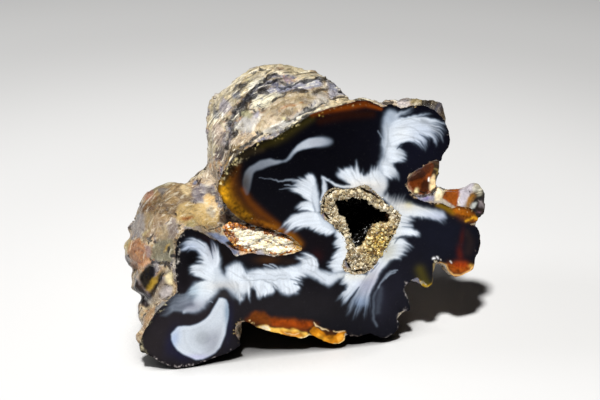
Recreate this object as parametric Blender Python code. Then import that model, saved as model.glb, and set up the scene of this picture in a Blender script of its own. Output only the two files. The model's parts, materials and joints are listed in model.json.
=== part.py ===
"""Eye agate: half of a lobed nodule, cut and polished in front and rough behind.

The stone is one solid. Its polished face looks along -Y and leans back a little,
and it stands on three small natural flats. A crust of quartz crystals lines the
pocket in the face. Millimetres until the last step, then metres, with +Z up.
"""

import math

import bmesh
import bpy
import numpy as np
from mathutils import Matrix, Vector, noise

MM = 0.001

# Driving dimensions.
LEAN = math.radians(8)  # how far the polished face leans back
SLAB_DEPTHS = (-3.0, 0.0, 3.0, 8.0)  # the rough slab, from before the cut to behind it
SLAB_SCALES = (1.0, 1.0, 0.97, 0.87)  # and how its outline draws in
SLAB_MIDDLE = (0.0, 26.0)
VOXEL = 0.9  # grain at which the lobes are fused
FUSING = 3  # rounds of smoothing over the joints between lobes
LOBE_FRONT = 3.0  # the rounded lobes start this far behind the cut
LEDGE_SPACING = 4.8  # between the growth ledges of the upper lobe
LEDGE_HEIGHT = 1.9
STONE_FACES = 6800  # triangles kept on the rough stone before it is cut
POCKET_CENTRE = (11.0, 27.0)
POCKET_DEPTHS = (-2.0, 5.0, 12.0, 16.0, 18.0)
POCKET_SCALES = (1.0, 1.0, 0.94, 0.8, 0.5)
CRUST_GAP = 0.45  # from the crust to the rock wall, towards the pocket's middle
CRUST_DEPTHS = (0.0, 1.6, 3.6, 6.0, 8.8, 11.6, 13.6)  # of the crust's rows of crystals
CRUST_SCALES = (1.06, 1.12, 1.14, 1.12, 1.05, 0.9, 0.6)
CRUST_COUNT = 24  # crystals in a row round the pocket
CRYSTAL_HEIGHTS = (0.4, 1.1)
LEDGE_CRYSTALS = 34
LEDGE_CRYSTAL_SIZES = (0.8, 1.5)
SEED = 7

# The outline of the polished face, clockwise from the lower left of the upper lobe:
# (right, up) along the face, from a point on the floor line under the pocket's left.
UPPER_LOBE = (
    (-19, 38), (-18.5, 40), (-17.5, 41.5), (-16.5, 43), (-15, 44.5), (-13.5, 45.5),
    (-11.5, 46.5), (-9.5, 47.5), (-7, 47.5), (-5, 48.5), (-3.5, 50), (-1, 51),
    (1.5, 52), (4.5, 53), (8, 53.5), (11.5, 54), (14, 53.5), (17.5, 52.5),
    (22, 52), (23.5, 52.5), (26, 51.5),
)
SHOULDER = (
    (27.5, 50.5), (29, 49), (29.5, 46.5), (30, 44), (29.5, 42.5), (28.5, 41),
    (28, 39.5), (28, 37), (27.5, 35), (28, 33.5),
)
RIGHT_LOBE = (
    (29.5, 33.5), (32, 32.5), (33.5, 33.5), (36, 33.5), (37.5, 32.5), (38, 29.5),
    (37.5, 27.5), (36, 26), (36, 24.5), (36.5, 22.5), (37, 19.5), (36, 18),
    (35.5, 15.5), (33, 14.5), (31, 13.5), (29.5, 15.5), (28.5, 17), (27, 18),
)
TOE = (
    (26.5, 17), (26.5, 15), (26.5, 12.5), (25, 12), (23.5, 13), (22.5, 14.5),
    (21.5, 13.5), (20, 13), (20, 11), (21, 8.5), (20.5, 6.5), (19.5, 6.5),
)
RIGHT_FOOT = (
    (18, 5.5), (18.5, 4), (17, 2.5), (15, 1.5), (13.5, 2.5), (11.5, 3), (9.5, 3), (7, 3),
)
ARCH = (
    (5.5, 1.5), (3, 2), (0.5, 2.5), (-1, 4), (-3, 4), (-5.5, 4.5), (-8.5, 5.5),
    (-11, 7), (-13.5, 8.5), (-16, 9), (-17, 7.5), (-17, 5.5),
)
LEFT_FOOT = (
    (-16, 4), (-18, 2.5), (-21.5, 2), (-25, 0.5), (-29.5, 0.5), (-32, 1.5), (-35, 3.5),
    (-37, 5), (-37, 7.5), (-35.5, 10), (-33, 13), (-30.5, 15), (-28.5, 17),
)
LEFT_ARM = (
    (-28.5, 21), (-28.5, 23.5), (-28, 26.5), (-27.5, 29), (-25.5, 30), (-23, 29.5),
    (-21, 28), (-18.5, 26.5), (-17, 25.5), (-16, 23.5),
)
NOTCH = (
    (-13, 23.5), (-10.5, 23.5), (-7.5, 22.5), (-4.5, 22.5), (-2, 23.5), (-3.5, 26),
    (-6, 27.5), (-9.5, 29), (-13, 30.5), (-15.5, 32), (-17.5, 34.5),
)
FACE = (
    UPPER_LOBE + SHOULDER + RIGHT_LOBE + TOE + RIGHT_FOOT + ARCH + LEFT_FOOT + LEFT_ARM + NOTCH
)

# The pocket's rock wall, and the opening that its crystals leave.
POCKET = (
    (2.5, 33.5), (4, 35.5), (6.5, 36), (9.5, 35.5), (12.5, 35), (15, 32.5), (17.5, 31),
    (19.5, 29), (19, 27), (17.5, 24.5), (16, 22.5), (14.5, 19.5), (12.5, 17.5), (10, 17),
    (7.5, 17.5), (6.5, 19), (7.5, 21), (7.5, 23), (6.5, 26), (4.5, 28), (2.5, 31),
)
HOLE = (
    (4.5, 32), (5, 33.5), (7.5, 33.5), (11, 33.5), (13, 31.5), (15.5, 30), (17.5, 28.5),
    (16.5, 27), (14, 27), (13, 25), (11, 23), (10.5, 22), (8.5, 22.5), (8, 25.5),
    (8, 27.5), (6.5, 29.5),
)

# Rounded masses behind the face: centre (right, back, up), radii, turn about Z.
LOBES = {
    "horn": ((-1.5, 20, 36), (16.5, 24, 18.5), 8),
    "horn_crest": ((-5.5, 21, 43), (9.5, 13, 12), 10),
    "shoulder": ((13, 10, 35.5), (14, 12, 13.5), 20),
    "left_lobe": ((-26.5, 17, 20.5), (9.5, 16, 12), -8),
    "left_knob": ((-32.5, 16, 19.5), (4.5, 7, 5.5), 0),
    "left_foot": ((-24.5, 9, 8), (10, 10, 9), 0),
    "lower_bar": ((-9, 12, 17), (22, 11, 9.5), 0),
    "core": ((-2, 22, 23), (22, 17, 17), 0),
    "right_foot": ((12, 12, 9.5), (9, 11, 10.5), 0),
    "right_flank": ((17, 13, 24), (11, 9, 13), -20),
    "back_foot": ((-3, 27, 9.5), (16, 13, 11), 12),
    "right_lobe": ((28, 8, 24), (8, 6, 9), 0),
}

# Shallow conchoidal chips in the cut face: (right, up, depth) of the centre, radii.
CHIPS = (
    ((24.8, 36.0, -4.0), (6.5, 6.0, 5.6)),
    ((28.5, 36.5, -2.0), (3.0, 4.0, 4.0)),
    ((31.5, 31.5, -4.0), (5.5, 5.6, 3.6)),
    ((36.3, 29.5, -3.0), (2.8, 4.6, 3.8)),
    ((-4.0, 1.5, -4.0), (13.0, 6.5, 4.5)),
)

# The sugary ledge in the notch: where its crystals stand, (right, up) spans.
LEDGE = ((-14.0, -3.0), (24.0, 28.5))


def on_face(right, up, depth=0.0):
    """The point at (right, up) along the polished face and depth behind it."""
    back = up * math.sin(LEAN) + depth * math.cos(LEAN)
    return Vector((right, back, up * math.cos(LEAN) - depth * math.sin(LEAN)))


INWARD = on_face(0, 0, 1)  # straight into the stone from its polished face


def clear_scene():
    for obj in list(bpy.data.objects):
        bpy.data.objects.remove(obj)


def rock_material(name, colour, roughness):
    material = bpy.data.materials.new(name)
    material.use_nodes = True
    shader = material.node_tree.nodes["Principled BSDF"]
    shader.inputs["Base Color"].default_value = (*colour, 1.0)
    shader.inputs["Roughness"].default_value = roughness
    shader.inputs["Metallic"].default_value = 0.0
    return material


def add_object(name, bm):
    """A new object from a bmesh, with its faces turned outwards."""
    bmesh.ops.recalc_face_normals(bm, faces=bm.faces)
    mesh = bpy.data.meshes.new(name)
    bm.to_mesh(mesh)
    bm.free()
    obj = bpy.data.objects.new(name, mesh)
    bpy.context.scene.collection.objects.link(obj)
    return obj


def add_cutter(name, bm):
    cutter = add_object(name, bm)
    cutter.hide_render = True
    cutter.display_type = "WIRE"
    return cutter


def add_walls(bm, rows):
    """Quads between one ring of vertices and the next."""
    walls = []
    for near, far in zip(rows, rows[1:]):
        for i, corner in enumerate(near):
            j = (i + 1) % len(near)
            walls.append(bm.faces.new((corner, near[j], far[j], far[i])))
    return walls


def loft(bm, rings):
    """A closed body through rings of equal length."""
    rows = [[bm.verts.new(point) for point in ring] for ring in rings]
    add_walls(bm, rows)
    bm.faces.new(rows[0])
    bm.faces.new(rows[-1])


def add_slab(bm):
    """The face's outline carried back, drawing in as it goes."""
    middle = Vector(SLAB_MIDDLE)
    rings = []
    for depth, scale in zip(SLAB_DEPTHS, SLAB_SCALES):
        points = [middle + (Vector(point) - middle) * scale for point in FACE]
        rings.append([on_face(point.x, point.y, depth) for point in points])
    loft(bm, rings)


def add_ellipsoid(bm, centre, radii, turn=0.0, fineness=4):
    matrix = Matrix.Translation(centre) @ Matrix.Rotation(math.radians(turn), 4, "Z")
    matrix = matrix @ Matrix.Diagonal((*radii, 1.0))
    made = bmesh.ops.create_icosphere(bm, subdivisions=fineness, radius=1.0, matrix=matrix)
    return made["verts"]


def add_lobe(bm, centre, radii, turn):
    """An ellipsoid, pressed flat where it would stand in front of LOBE_FRONT."""
    for vertex in add_ellipsoid(bm, centre, radii, turn):
        vertex.co += INWARD * max(LOBE_FRONT - vertex.co.dot(INWARD), 0.0)


def apply_modifiers(obj):
    """Replaces the object's mesh by what its modifiers make of it."""
    graph = bpy.context.evaluated_depsgraph_get()
    made = bpy.data.meshes.new_from_object(obj.evaluated_get(graph))
    obj.modifiers.clear()
    obj.data = made


def fuse(obj):
    """One skin over the slab and the lobes."""
    remesh = obj.modifiers.new("Fuse", "REMESH")
    remesh.mode = "VOXEL"
    remesh.voxel_size = VOXEL
    smooth = obj.modifiers.new("Ease joints", "SMOOTH")
    smooth.factor = 0.5
    smooth.iterations = FUSING
    apply_modifiers(obj)


def ramp(value, start, end):
    """0 up to start, 1 from end, and a straight climb between."""
    return min(max((value - start) / (end - start), 0.0), 1.0)


def relief(point, depth):
    """How far the rind stands out at a point depth behind the face."""
    swells = 2.2 * ramp(depth, 2.0, 16.0) * noise.noise(point / 15.0)
    lumps = 1.4 * noise.noise(point / 8.0) + 0.6 * noise.noise(point / 4.0)
    high = ramp(point.z, 36.0, 44.0)
    step = (depth / LEDGE_SPACING + 0.7 * noise.noise(point / 12.0)) % 1.0
    ledges = LEDGE_HEIGHT * (ramp(step, 0.0, 0.35) - step) * high
    bubbles = 1.6 * (0.6 - noise.voronoi(point / 5.5)[0][0]) * (1.0 - high)
    pits = -2.5 * max(noise.noise(point / 3.6 + Vector((9, 2, 5))) - 0.38, 0.0)
    return ramp(depth, 0.5, 3.5) * (swells + lumps + ledges + bubbles + pits)


def roughen(obj):
    """Growth ledges above, bubbly lumps below, and pits all over."""
    normals = [vertex.normal.copy() for vertex in obj.data.vertices]
    for vertex, out in zip(obj.data.vertices, normals):
        vertex.co += out * relief(vertex.co, vertex.co.dot(INWARD))


def thin_out(obj):
    """Fewer, larger facets."""
    faces = sum(len(face.vertices) - 2 for face in obj.data.polygons)
    decimate = obj.modifiers.new("Facets", "DECIMATE")
    decimate.ratio = STONE_FACES / faces
    apply_modifiers(obj)


def combine(obj, other, operation):
    boolean = obj.modifiers.new(operation.title() + " " + other.name, "BOOLEAN")
    boolean.operation = operation
    boolean.solver = "EXACT"
    boolean.use_self = operation == "UNION"
    boolean.object = other


def ring(outline, depth, scale, inset=0.0):
    """The outline as seen from its middle at equal turns, carried to a depth."""
    middle = Vector(POCKET_CENTRE)
    points = [Vector(point) - middle for point in outline]
    ring_points = []
    for step in range(CRUST_COUNT):
        turn = 2.0 * math.pi * step / CRUST_COUNT
        ray = Vector((math.cos(turn), math.sin(turn)))
        reach = max(reaches(points, ray))
        at = middle + ray * (reach * scale - inset)
        ring_points.append(on_face(at.x, at.y, depth))
    return ring_points


def reaches(points, ray):
    """Distances at which a ray from the middle meets the sides of an outline."""
    for start, end in zip(points, points[1:] + points[:1]):
        side = end - start
        across = ray.x * side.y - ray.y * side.x
        if abs(across) < 1e-9:
            continue
        along = (start.x * side.y - start.y * side.x) / across
        part = (start.x * ray.y - start.y * ray.x) / across
        if along > 0.0 and -1e-6 <= part <= 1.0 + 1e-6:
            yield along


def build_rough_stone():
    bm = bmesh.new()
    add_slab(bm)
    for centre, radii, turn in LOBES.values():
        add_lobe(bm, centre, radii, turn)
    stone = add_object("agate", bm)
    fuse(stone)
    roughen(stone)
    thin_out(stone)
    return stone


def build_block():
    """What the saw and the floor leave: behind the face and above z = 0."""
    far = 90.0
    bm = bmesh.new()
    front = [on_face(-far, 0), on_face(far, 0), on_face(far, far), on_face(-far, far)]
    back = [(-far, far, 0), (far, far, 0), (far, far, far), (-far, far, far)]
    loft(bm, [front, back])
    return add_cutter("sawn_block", bm)


def build_pocket():
    bm = bmesh.new()
    stages = zip(POCKET_DEPTHS, POCKET_SCALES)
    loft(bm, [ring(POCKET, depth, scale) for depth, scale in stages])
    return add_cutter("pocket", bm)


def build_chip(index, centre, radii):
    bm = bmesh.new()
    add_ellipsoid(bm, on_face(*centre), radii, fineness=3)
    return add_cutter(f"chip_{index}", bm)


def add_crystal(bm, root, out, width, length, turn):
    """A six-sided quartz point."""
    frame = Matrix.Translation(root) @ out.to_track_quat("Z", "Y").to_matrix().to_4x4()
    frame = frame @ Matrix.Rotation(turn, 4, "Z")
    shoulder = 0.55 * length
    rings = []
    for height in (-length, shoulder):
        sides = [math.radians(60 * side) for side in range(6)]
        rings.append([frame @ Vector((width * math.cos(s), width * math.sin(s), height)) for s in sides])
    rows = [[bm.verts.new(point) for point in corners] for corners in rings]
    add_walls(bm, rows)
    bm.faces.new(rows[0])
    tip = bm.verts.new(frame @ Vector((0.0, 0.0, length)))
    for i, corner in enumerate(rows[1]):
        bm.faces.new((corner, rows[1][(i + 1) % 6], tip))


def build_ledge_crystals(rng):
    bm = bmesh.new()
    (left, right), (low, high) = LEDGE
    for _ in range(LEDGE_CRYSTALS):
        across = rng.uniform(left, right)
        up = rng.uniform(low, high - 0.3 * (across - left))
        lean = Vector((rng.uniform(-0.5, 0.5), 0.0, rng.uniform(-0.1, 0.7)))
        out = (lean - INWARD).normalized()
        size = rng.uniform(*LEDGE_CRYSTAL_SIZES)
        add_crystal(bm, on_face(across, up, LOBE_FRONT), out, size, 1.7 * size, rng.uniform(0, 1))
    return add_cutter("ledge_crystals", bm)


def build_crust(rng):
    """A cup of quartz points, with its rim cut flush with the polished face."""
    bm = bmesh.new()
    stages = zip((0.0,) + POCKET_DEPTHS[1:], POCKET_SCALES)
    outer = [ring(POCKET, depth - CRUST_GAP * (depth > 0), scale, CRUST_GAP) for depth, scale in stages]
    outer_rows = [[bm.verts.new(point) for point in corners] for corners in outer]
    inner = [ring(HOLE, depth, scale) for depth, scale in zip(CRUST_DEPTHS, CRUST_SCALES)]
    inner_rows = [[bm.verts.new(point) for point in corners] for corners in inner]
    add_walls(bm, outer_rows)
    add_walls(bm, [outer_rows[0], inner_rows[0]])
    bm.faces.new(outer_rows[-1])
    walls = add_walls(bm, inner_rows)
    floor = bm.verts.new(on_face(*POCKET_CENTRE, CRUST_DEPTHS[-1] + 0.6))
    last = inner_rows[-1]
    walls += [bm.faces.new((last[i - 1], last[i], floor)) for i in range(len(last))]
    bmesh.ops.recalc_face_normals(bm, faces=bm.faces)
    for wall in walls:
        bmesh.ops.poke(bm, faces=[wall], offset=rng.uniform(*CRYSTAL_HEIGHTS))
    return add_object("pocket_crystals", bm)


def settle(objects):
    """From millimetres to metres, with the origin under the middle of the stone's box."""
    corners = np.array([tuple(vertex.co) for obj in objects for vertex in obj.data.vertices])
    low, high = corners.min(axis=0), corners.max(axis=0)
    origin = Vector(((low[0] + high[0]) / 2, (low[1] + high[1]) / 2, low[2]))
    for obj in objects:
        obj.data.transform(Matrix.Scale(MM, 4) @ Matrix.Translation(-origin))


def main():
    clear_scene()
    rng = np.random.default_rng(SEED)
    stone = build_rough_stone()
    cutters = [build_block(), build_pocket()]
    cutters += [build_chip(index, *chip) for index, chip in enumerate(CHIPS)]
    for index, cutter in enumerate(cutters):
        combine(stone, cutter, "DIFFERENCE" if index else "INTERSECT")
    crystals = build_ledge_crystals(rng)
    combine(stone, crystals, "UNION")
    apply_modifiers(stone)
    for helper in (*cutters, crystals):
        bpy.data.objects.remove(helper)
    crust = build_crust(rng)
    settle((stone, crust))
    stone.data.materials.append(rock_material("agate_stone", (0.05, 0.05, 0.07), 0.3))
    crust.data.materials.append(rock_material("quartz_druse", (0.72, 0.62, 0.45), 0.35))


main()
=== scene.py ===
"""Looks of the eye agate: its polished face with white plumes, its rough rind and its crystals.

Places on the polished face are given as (x, y) in the photograph's 600 x 400 pixels and
carried to the face's plane along the camera's rays. Everything else is in millimetres,
turned to metres where it meets the frame.
"""

import itertools
import json
import math

import bmesh
import bpy
import numpy as np
from mathutils import Matrix, Vector, noise
from mathutils.geometry import delaunay_2d_cdt


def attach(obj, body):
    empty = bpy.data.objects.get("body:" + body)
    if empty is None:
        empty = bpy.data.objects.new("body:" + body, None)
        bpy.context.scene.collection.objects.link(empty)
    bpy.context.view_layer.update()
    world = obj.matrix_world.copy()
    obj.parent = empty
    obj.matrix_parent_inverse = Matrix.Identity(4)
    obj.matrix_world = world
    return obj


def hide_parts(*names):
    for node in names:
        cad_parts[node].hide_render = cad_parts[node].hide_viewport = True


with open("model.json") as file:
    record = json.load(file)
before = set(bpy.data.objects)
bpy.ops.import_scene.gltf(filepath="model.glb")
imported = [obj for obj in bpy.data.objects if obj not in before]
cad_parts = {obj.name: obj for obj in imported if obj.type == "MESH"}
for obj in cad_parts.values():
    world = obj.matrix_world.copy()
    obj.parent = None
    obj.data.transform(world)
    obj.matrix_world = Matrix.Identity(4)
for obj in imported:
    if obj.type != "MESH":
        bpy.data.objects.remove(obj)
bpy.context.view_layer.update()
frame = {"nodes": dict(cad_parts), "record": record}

MM = 0.001
SEED = 11

# The polished face: its axes, and the point on the floor line that it is measured from.
LEAN = math.radians(8)
RIGHT = Vector((1.0, 0.0, 0.0))
UP = Vector((0.0, math.sin(LEAN), math.cos(LEAN)))
OUT = Vector((0.0, -math.cos(LEAN), math.sin(LEAN)))
MOUNT_PLACE = (-8.0, 15.0)  # of the record's polished_face mount along RIGHT and UP
mount = next(m for m in frame["record"]["mounts"] if m["name"] == "polished_face")
FACE_ORIGIN = Vector(mount["pos_m"]) / MM - RIGHT * MOUNT_PLACE[0] - UP * MOUNT_PLACE[1]

# The photograph's view.
AZIMUTH, ELEVATION = math.radians(-13), math.radians(25)
PICTURE = (600, 400)
LENS, SENSOR = 85.0, 36.0
FOCAL = LENS / SENSOR * PICTURE[0]
DISTANCE = 290.0
TARGET = FACE_ORIGIN + RIGHT * -2.1785 + UP * 34.2759
BACKWARD = Vector((
    math.sin(AZIMUTH) * math.cos(ELEVATION), -math.cos(AZIMUTH) * math.cos(ELEVATION),
    math.sin(ELEVATION),
))
ACROSS = Vector((math.cos(AZIMUTH), math.sin(AZIMUTH), 0.0))
UPRIGHT = BACKWARD.cross(ACROSS)
CAMERA = TARGET + BACKWARD * DISTANCE


def linear(*colour):
    """An sRGB colour of 0 to 255 as linear light."""
    c = np.array(colour, float) / 255.0
    return np.where(c <= 0.04045, c / 12.92, ((c + 0.055) / 1.055) ** 2.4)


def along_face(pixels):
    """(right, up) along the face, in mm, for an array of pixels."""
    pixels = np.asarray(pixels, float)
    across = (pixels[:, 0:1] - PICTURE[0] / 2) / FOCAL
    down = (pixels[:, 1:2] - PICTURE[1] / 2) / FOCAL
    rays = across * np.array(ACROSS) - down * np.array(UPRIGHT) - np.array(BACKWARD)
    reach = (FACE_ORIGIN - CAMERA).dot(OUT) / (rays @ np.array(OUT))
    points = np.array(CAMERA - FACE_ORIGIN) + rays * reach[:, None]
    return np.stack([points @ np.array(RIGHT), points @ np.array(UP)], axis=1)


def from_face(places, depth=0.0):
    """Points in mm for (right, up) along the face at a depth behind it."""
    places = np.asarray(places, float)
    points = np.array(FACE_ORIGIN) + places[:, 0:1] * np.array(RIGHT)
    depth = np.broadcast_to(depth, len(places))[:, None]
    return points + places[:, 1:2] * np.array(UP) - depth * np.array(OUT)


def to_pixels(points):
    """Where the camera sees points given in mm."""
    rays = np.asarray(points, float) - np.array(CAMERA)
    far = -(rays @ np.array(BACKWARD))
    x = PICTURE[0] / 2 + FOCAL * (rays @ np.array(ACROSS)) / far
    y = PICTURE[1] / 2 - FOCAL * (rays @ np.array(UPRIGHT)) / far
    return np.stack([x, y], axis=1)


def depth_of(points):
    """Depth in mm behind the polished face."""
    return -((np.asarray(points, float) - np.array(FACE_ORIGIN)) @ np.array(OUT))


# ---------------------------------------------------------------- outlines of the face

UPPER_LOBE = [
    (218, 190), (220, 180), (224, 172), (230, 166), (236, 158), (243, 152), (252, 147), (263, 141),
    (274, 139), (283, 133), (292, 127), (302, 121), (314, 114), (330, 109), (346, 105), (362, 101),
    (374, 103), (382, 107), (392, 105), (402, 108), (412, 106), (421, 105.5), (431, 108.5),
]
SHOULDER = [(438, 113.5), (444, 120), (448, 129), (450, 140), (448, 148), (443, 155), (441, 161)]
WINDOW_EDGE = [
    (436, 160), (430, 162), (423, 166.5), (415, 170.5), (409, 176), (406.5, 184), (408, 190),
    (412, 193), (416, 197), (421, 200.5), (428, 202.5), (436, 203),
]
RIGHT_LOBE = [
    (443, 204), (449, 206.5), (454, 208), (459, 206), (464, 207), (470, 208), (474, 212),
    (478, 218), (476, 222), (470, 224.5), (477, 227.5), (480, 236), (480, 248), (476, 256),
    (474.5, 263), (473.5, 268), (470, 271), (465, 273.5), (461, 276), (455, 276.5), (451, 274),
    (448, 270.5), (446.5, 266.5), (443, 264), (438, 262),
]
TOE = [
    (435.5, 262), (434.5, 268), (432.5, 275), (433, 281), (430, 285.5), (425.7, 287.3),
    (421.5, 285.5), (419, 280), (417.5, 277.5), (413, 279), (410, 282), (407, 284),
    (404.3, 288.6), (407, 295.7), (409.3, 303), (409.3, 310), (401.5, 311.5),
]
RIGHT_FOOT = [
    (397, 318), (399, 326), (393, 334), (384, 338), (376, 336), (369, 333.5), (360, 336), (351, 336),
]
ARCH = [
    (345, 333), (345, 339), (339, 343.5), (328, 342.5), (319, 338.5), (311, 335), (302, 338),
    (286, 335), (269, 331), (257, 327), (247, 322), (241, 321), (236, 325), (235, 332), (239, 340),
]
LEFT_FOOT = [
    (240, 345), (230, 352), (214, 357.5), (198, 364), (178, 367.5), (165, 364), (150, 356),
    (140, 350), (141, 341), (146, 329), (156, 314), (168, 302), (177, 292),
]
LEFT_ARM = [
    (176, 275), (176, 262), (176, 248), (180, 237), (188, 230), (200, 232.5), (210, 238),
    (219, 242), (229, 248), (236, 256),
]
NOTCH = [
    (250, 254), (262, 255), (276, 257), (290, 255), (302, 249), (294, 239), (282, 233), (265, 228),
    (248, 223), (236, 216), (226, 205),
]
OUTLINE = (
    UPPER_LOBE + SHOULDER + WINDOW_EDGE + RIGHT_LOBE + TOE + RIGHT_FOOT + ARCH + LEFT_FOOT
    + LEFT_ARM + NOTCH
)
POCKET_RIM = [
    (321, 203), (325, 193), (333, 187.5), (345, 189), (357, 187), (366, 185.5), (372, 189),
    (379, 195), (386, 204), (395, 210), (401, 216), (398, 227), (393, 237), (387, 247),
    (380, 258), (372, 269), (360, 274.5), (348, 273), (342, 266), (346, 256), (347, 247),
    (343, 236), (334, 226), (322, 217),
]
POCKET_HOLE = [
    (331, 209), (333, 204), (337, 201), (345, 200), (354, 199), (363, 197), (371, 200), (378, 206),
    (386, 208.5), (394, 213), (395, 220), (388, 223), (380, 223.5), (373, 225), (370, 231),
    (368.5, 238), (368, 244), (364, 250), (357, 251), (352.5, 249), (351, 243), (349, 236),
    (347, 230), (345, 225), (340, 220), (334, 215),
]


# ---------------------------------------------------------------- the canvas of the face

CELLS = 3  # cells to a pixel
LEFT, TOP, WIDE, HIGH = 112, 58, 392, 320
SHAPE = (HIGH * CELLS, WIDE * CELLS)
CELL_X = LEFT + (np.arange(SHAPE[1]) + 0.5) / CELLS
CELL_Y = TOP + (np.arange(SHAPE[0]) + 0.5) / CELLS


def blurred(cells, sigma):
    """The canvas softened by sigma pixels."""
    down = np.fft.fftfreq(SHAPE[0])[:, None]
    along = np.fft.rfftfreq(SHAPE[1])[None, :]
    kernel = np.exp(-2.0 * (math.pi * sigma * CELLS) ** 2 * (down ** 2 + along ** 2))
    return np.fft.irfft2(np.fft.rfft2(cells) * kernel, s=SHAPE)


def window_of(points, margin):
    """The slices of the canvas that points and a margin in pixels fall in."""
    points = np.asarray(points, float)
    low = (points.min(axis=0) - margin - (LEFT, TOP)) * CELLS
    high = (points.max(axis=0) + margin - (LEFT, TOP)) * CELLS
    x0, y0 = np.maximum(low.astype(int), 0)
    x1, y1 = np.minimum(high.astype(int) + 1, SHAPE[::-1])
    return slice(y0, y1), slice(x0, x1)


def inside_outline(x, y, outline):
    """Which of the places x, y lie inside an outline."""
    inside = np.zeros(x.shape, bool)
    for (x0, y0), (x1, y1) in zip(outline, np.roll(outline, -1, axis=0)):
        if y0 != y1:
            inside ^= ((y0 > y) != (y1 > y)) & (x < (x1 - x0) * (y - y0) / (y1 - y0) + x0)
    return inside


def area(points, soft):
    """1 inside an outline and 0 outside, softened."""
    rows, columns = window_of(points, 1)
    x, y = np.meshgrid(CELL_X[columns], CELL_Y[rows])
    cells = np.zeros(SHAPE)
    cells[rows, columns] = inside_outline(x, y, points)
    return blurred(cells, soft)


def stroke(points, widths, power=2.0):
    """A soft line: 1 along the points, falling off over the width in pixels at each."""
    widest = max(widths)
    rows, columns = window_of(points, 3 * widest + 1)
    x, y = np.meshgrid(CELL_X[columns], CELL_Y[rows])
    best = np.full(x.shape, 1e9)
    for i, ((x0, y0), (x1, y1)) in enumerate(zip(points, points[1:])):
        length = (x1 - x0) ** 2 + (y1 - y0) ** 2
        part = np.clip(((x - x0) * (x1 - x0) + (y - y0) * (y1 - y0)) / length, 0.0, 1.0)
        reach = np.hypot(x - x0 - part * (x1 - x0), y - y0 - part * (y1 - y0))
        width = np.interp(i + part, np.arange(len(widths)), widths) if len(widths) > 1 else widest
        best = np.minimum(best, reach / width)
    cells = np.zeros(SHAPE)
    cells[rows, columns] = np.exp(-(best ** power))
    return cells


def spot(x, y, wide, high, turn=0.0):
    """A soft ellipse."""
    c, s = math.cos(math.radians(turn)), math.sin(math.radians(turn))
    dx, dy = CELL_X[None, :] - x, CELL_Y[:, None] - y
    return np.exp(-(((dx * c + dy * s) / wide) ** 2) - ((dy * c - dx * s) / high) ** 2)


def united(covers):
    """The largest of some canvases in each cell."""
    total = np.zeros(SHAPE)
    for cover in covers:
        total = np.maximum(total, cover)
    return total


def laid_over(under, over, cover):
    """Colours with others laid over them by how much each cell is covered."""
    return under * (1 - cover[..., None]) + over * cover[..., None]


def rising(values, start, width):
    """0 before a start and 1 from a width past it. A width below 0 runs the other way."""
    return np.clip((values - start) / width, 0.0, 1.0)


def polyline(points, places):
    """Points at places from 0 to 1 along a list of points."""
    points = np.asarray(points, float)
    at = np.asarray(places) * (len(points) - 1)
    steps = np.arange(len(points))
    return np.stack([np.interp(at, steps, points[:, i]) for i in (0, 1)], axis=-1)


def splatted(path, weight):
    """The canvas with weights spread over the cells next to each point of the paths."""
    x = (path[..., 0].ravel() - LEFT) * CELLS - 0.5
    y = (path[..., 1].ravel() - TOP) * CELLS - 0.5
    column, row = np.floor(x).astype(int), np.floor(y).astype(int)
    fx, fy, w = x - column, y - row, weight.ravel() * CELLS * CELLS
    total = np.zeros(SHAPE[0] * SHAPE[1])
    for dy, dx, share in ((0, 0, (1 - fx) * (1 - fy)), (0, 1, fx * (1 - fy)),
                          (1, 0, (1 - fx) * fy), (1, 1, fx * fy)):
        cell = (row + dy) * SHAPE[1] + column + dx
        total += np.bincount(cell, w * share, minlength=len(total))
    return total.reshape(SHAPE)


def uneven(rng, count):
    """Places from 0 to 1 in order, at uneven steps."""
    steps = np.cumsum(rng.uniform(0.35, 1.65, count + 1))
    return (steps[:-1] + steps[1:]) / 2 / (steps[-1] + steps[0] * 0.5)


STRANDS = 2.2  # strands drawn for each one that a fan asks for
TUFTS = 2.6  # pointed tufts to a lock


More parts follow.
